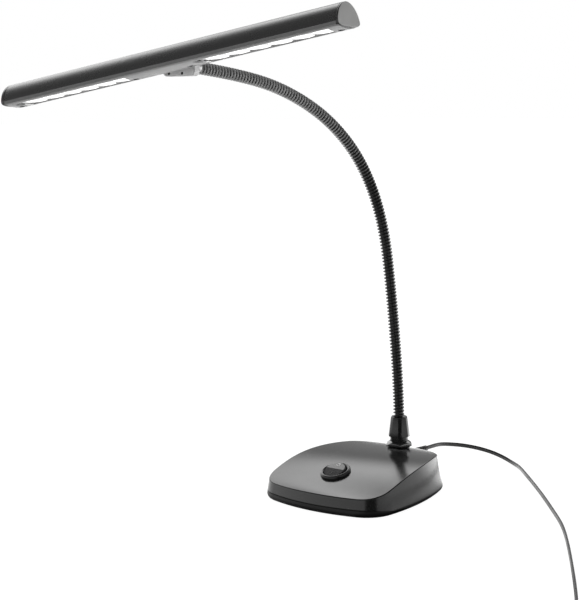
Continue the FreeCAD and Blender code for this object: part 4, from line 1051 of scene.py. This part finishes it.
SCREWS_X = (-171.5, -36.9, 20.5, 171.5)
SCREW_LOW = -2.6
SCREW_PROFILE = [
    (0.0, SCREW_LOW), (1.9, SCREW_LOW), (2.8, -2.2), (3.1, -1.6), (3.1, 0.4), (1.2, 0.4),
    (1.2, 5.5), (0.0, 5.5),
]
SLOT_SIZE = (2.6, 0.6, 1.1)
screw_black = finish(
    "screw black", 0.003, 0.5, drawn,
    Line_size=(900.0, 900.0, 900.0), Line_depth=0.05, Specular_IOR_Level=0.02,
)
for k, x in enumerate(SCREWS_X):
    screw = lathe("cover_screw_" + str(k + 1), SCREW_PROFILE, 32)
    for degrees in (0.0, 90.0):
        cross_slot = fresh(
            "slot", bpy.ops.mesh.primitive_cube_add,
            size=MM,
            location=(0.0, 0.0, SCREW_LOW * MM),
            rotation=(0.0, 0.0, math.radians(degrees)),
        )
        bpy.ops.transform.resize(value=SLOT_SIZE, orient_type="LOCAL")
        settle()
        boolean(screw, cross_slot, "DIFFERENCE")
    stands_for = ["cover_screws"] if k == 0 else []
    set_down(screw, head_place @ move(x, 0.0, 0.0), screw_black, "screw_steel", "head", *stands_for)

# ---- Reflectors, LEDs and their boards.
# Behind each window a row of six round cups, white inside, with one LED at the bottom of each on a
# white board. The cups' insides have a painted glow that grows with depth, and the black face
# between the cups has a painted glow of their light towards the front.
CUP_FACE_Z = -0.6
glow, given, result, spot = effect(
    "cup_or_face",
    [("Face point", "Vector"), ("Face normal", "Vector"), ("Across", "Vector")],
    [("Colour", "Color"), ("Light", "Float")],
)
# Painted glow: the cups glow brighter deeper in, and the face between them glows towards the front.
offset = node(glow, "VectorMath", (spot, 0), (given["Face point"], 1), operation="SUBTRACT")
depth = along(glow, offset.outputs[0], given["Face normal"])
inside_cup = between(glow, depth, 0.0001, 0.0004)
brightness = between(glow, depth, 0.0001, 0.009, 0.55, 1.6)
washed = between(glow, along(glow, offset.outputs[0], given["Across"]), -0.009, 0.002, 0.9, 0.03)
light = node(glow, "Mix", (inside_cup, "Factor"), (washed, "A"), (brightness, "B"))
glow.links.new(mix_greys(glow, inside_cup, 0.02, 0.9), result["Colour"])
glow.links.new(light.outputs[0], result["Light"])

reflector_painted_glow = finish(
    "reflector white, painted glow", 0.9, 0.3, glow, Emission_Color=WHITE,
    Face_point=head_place @ Vector((0.0, 0.0, CUP_FACE_Z * MM)), Face_normal=head_up,
    Across=across_head,
)
dress(reflector_painted_glow, "reflector_left", "reflector_right")
lamp_white = finish(
    "lamp white", (1.0, 1.0, 0.97), 0.3, moulded, Grain_size=900.0, Grain_depth=0.05,
    Emission_Color=(1.0, 0.99, 0.96, 1.0), Emission_Strength=4.0,
)
dress(lamp_white, "leds_left", "leds_right")
board_white = finish(
    "board white", (0.8, 0.8, 0.78), 0.4, moulded, Grain_size=500.0, Grain_depth=0.1
)
dress(board_white, "led_board_left", "led_board_right")
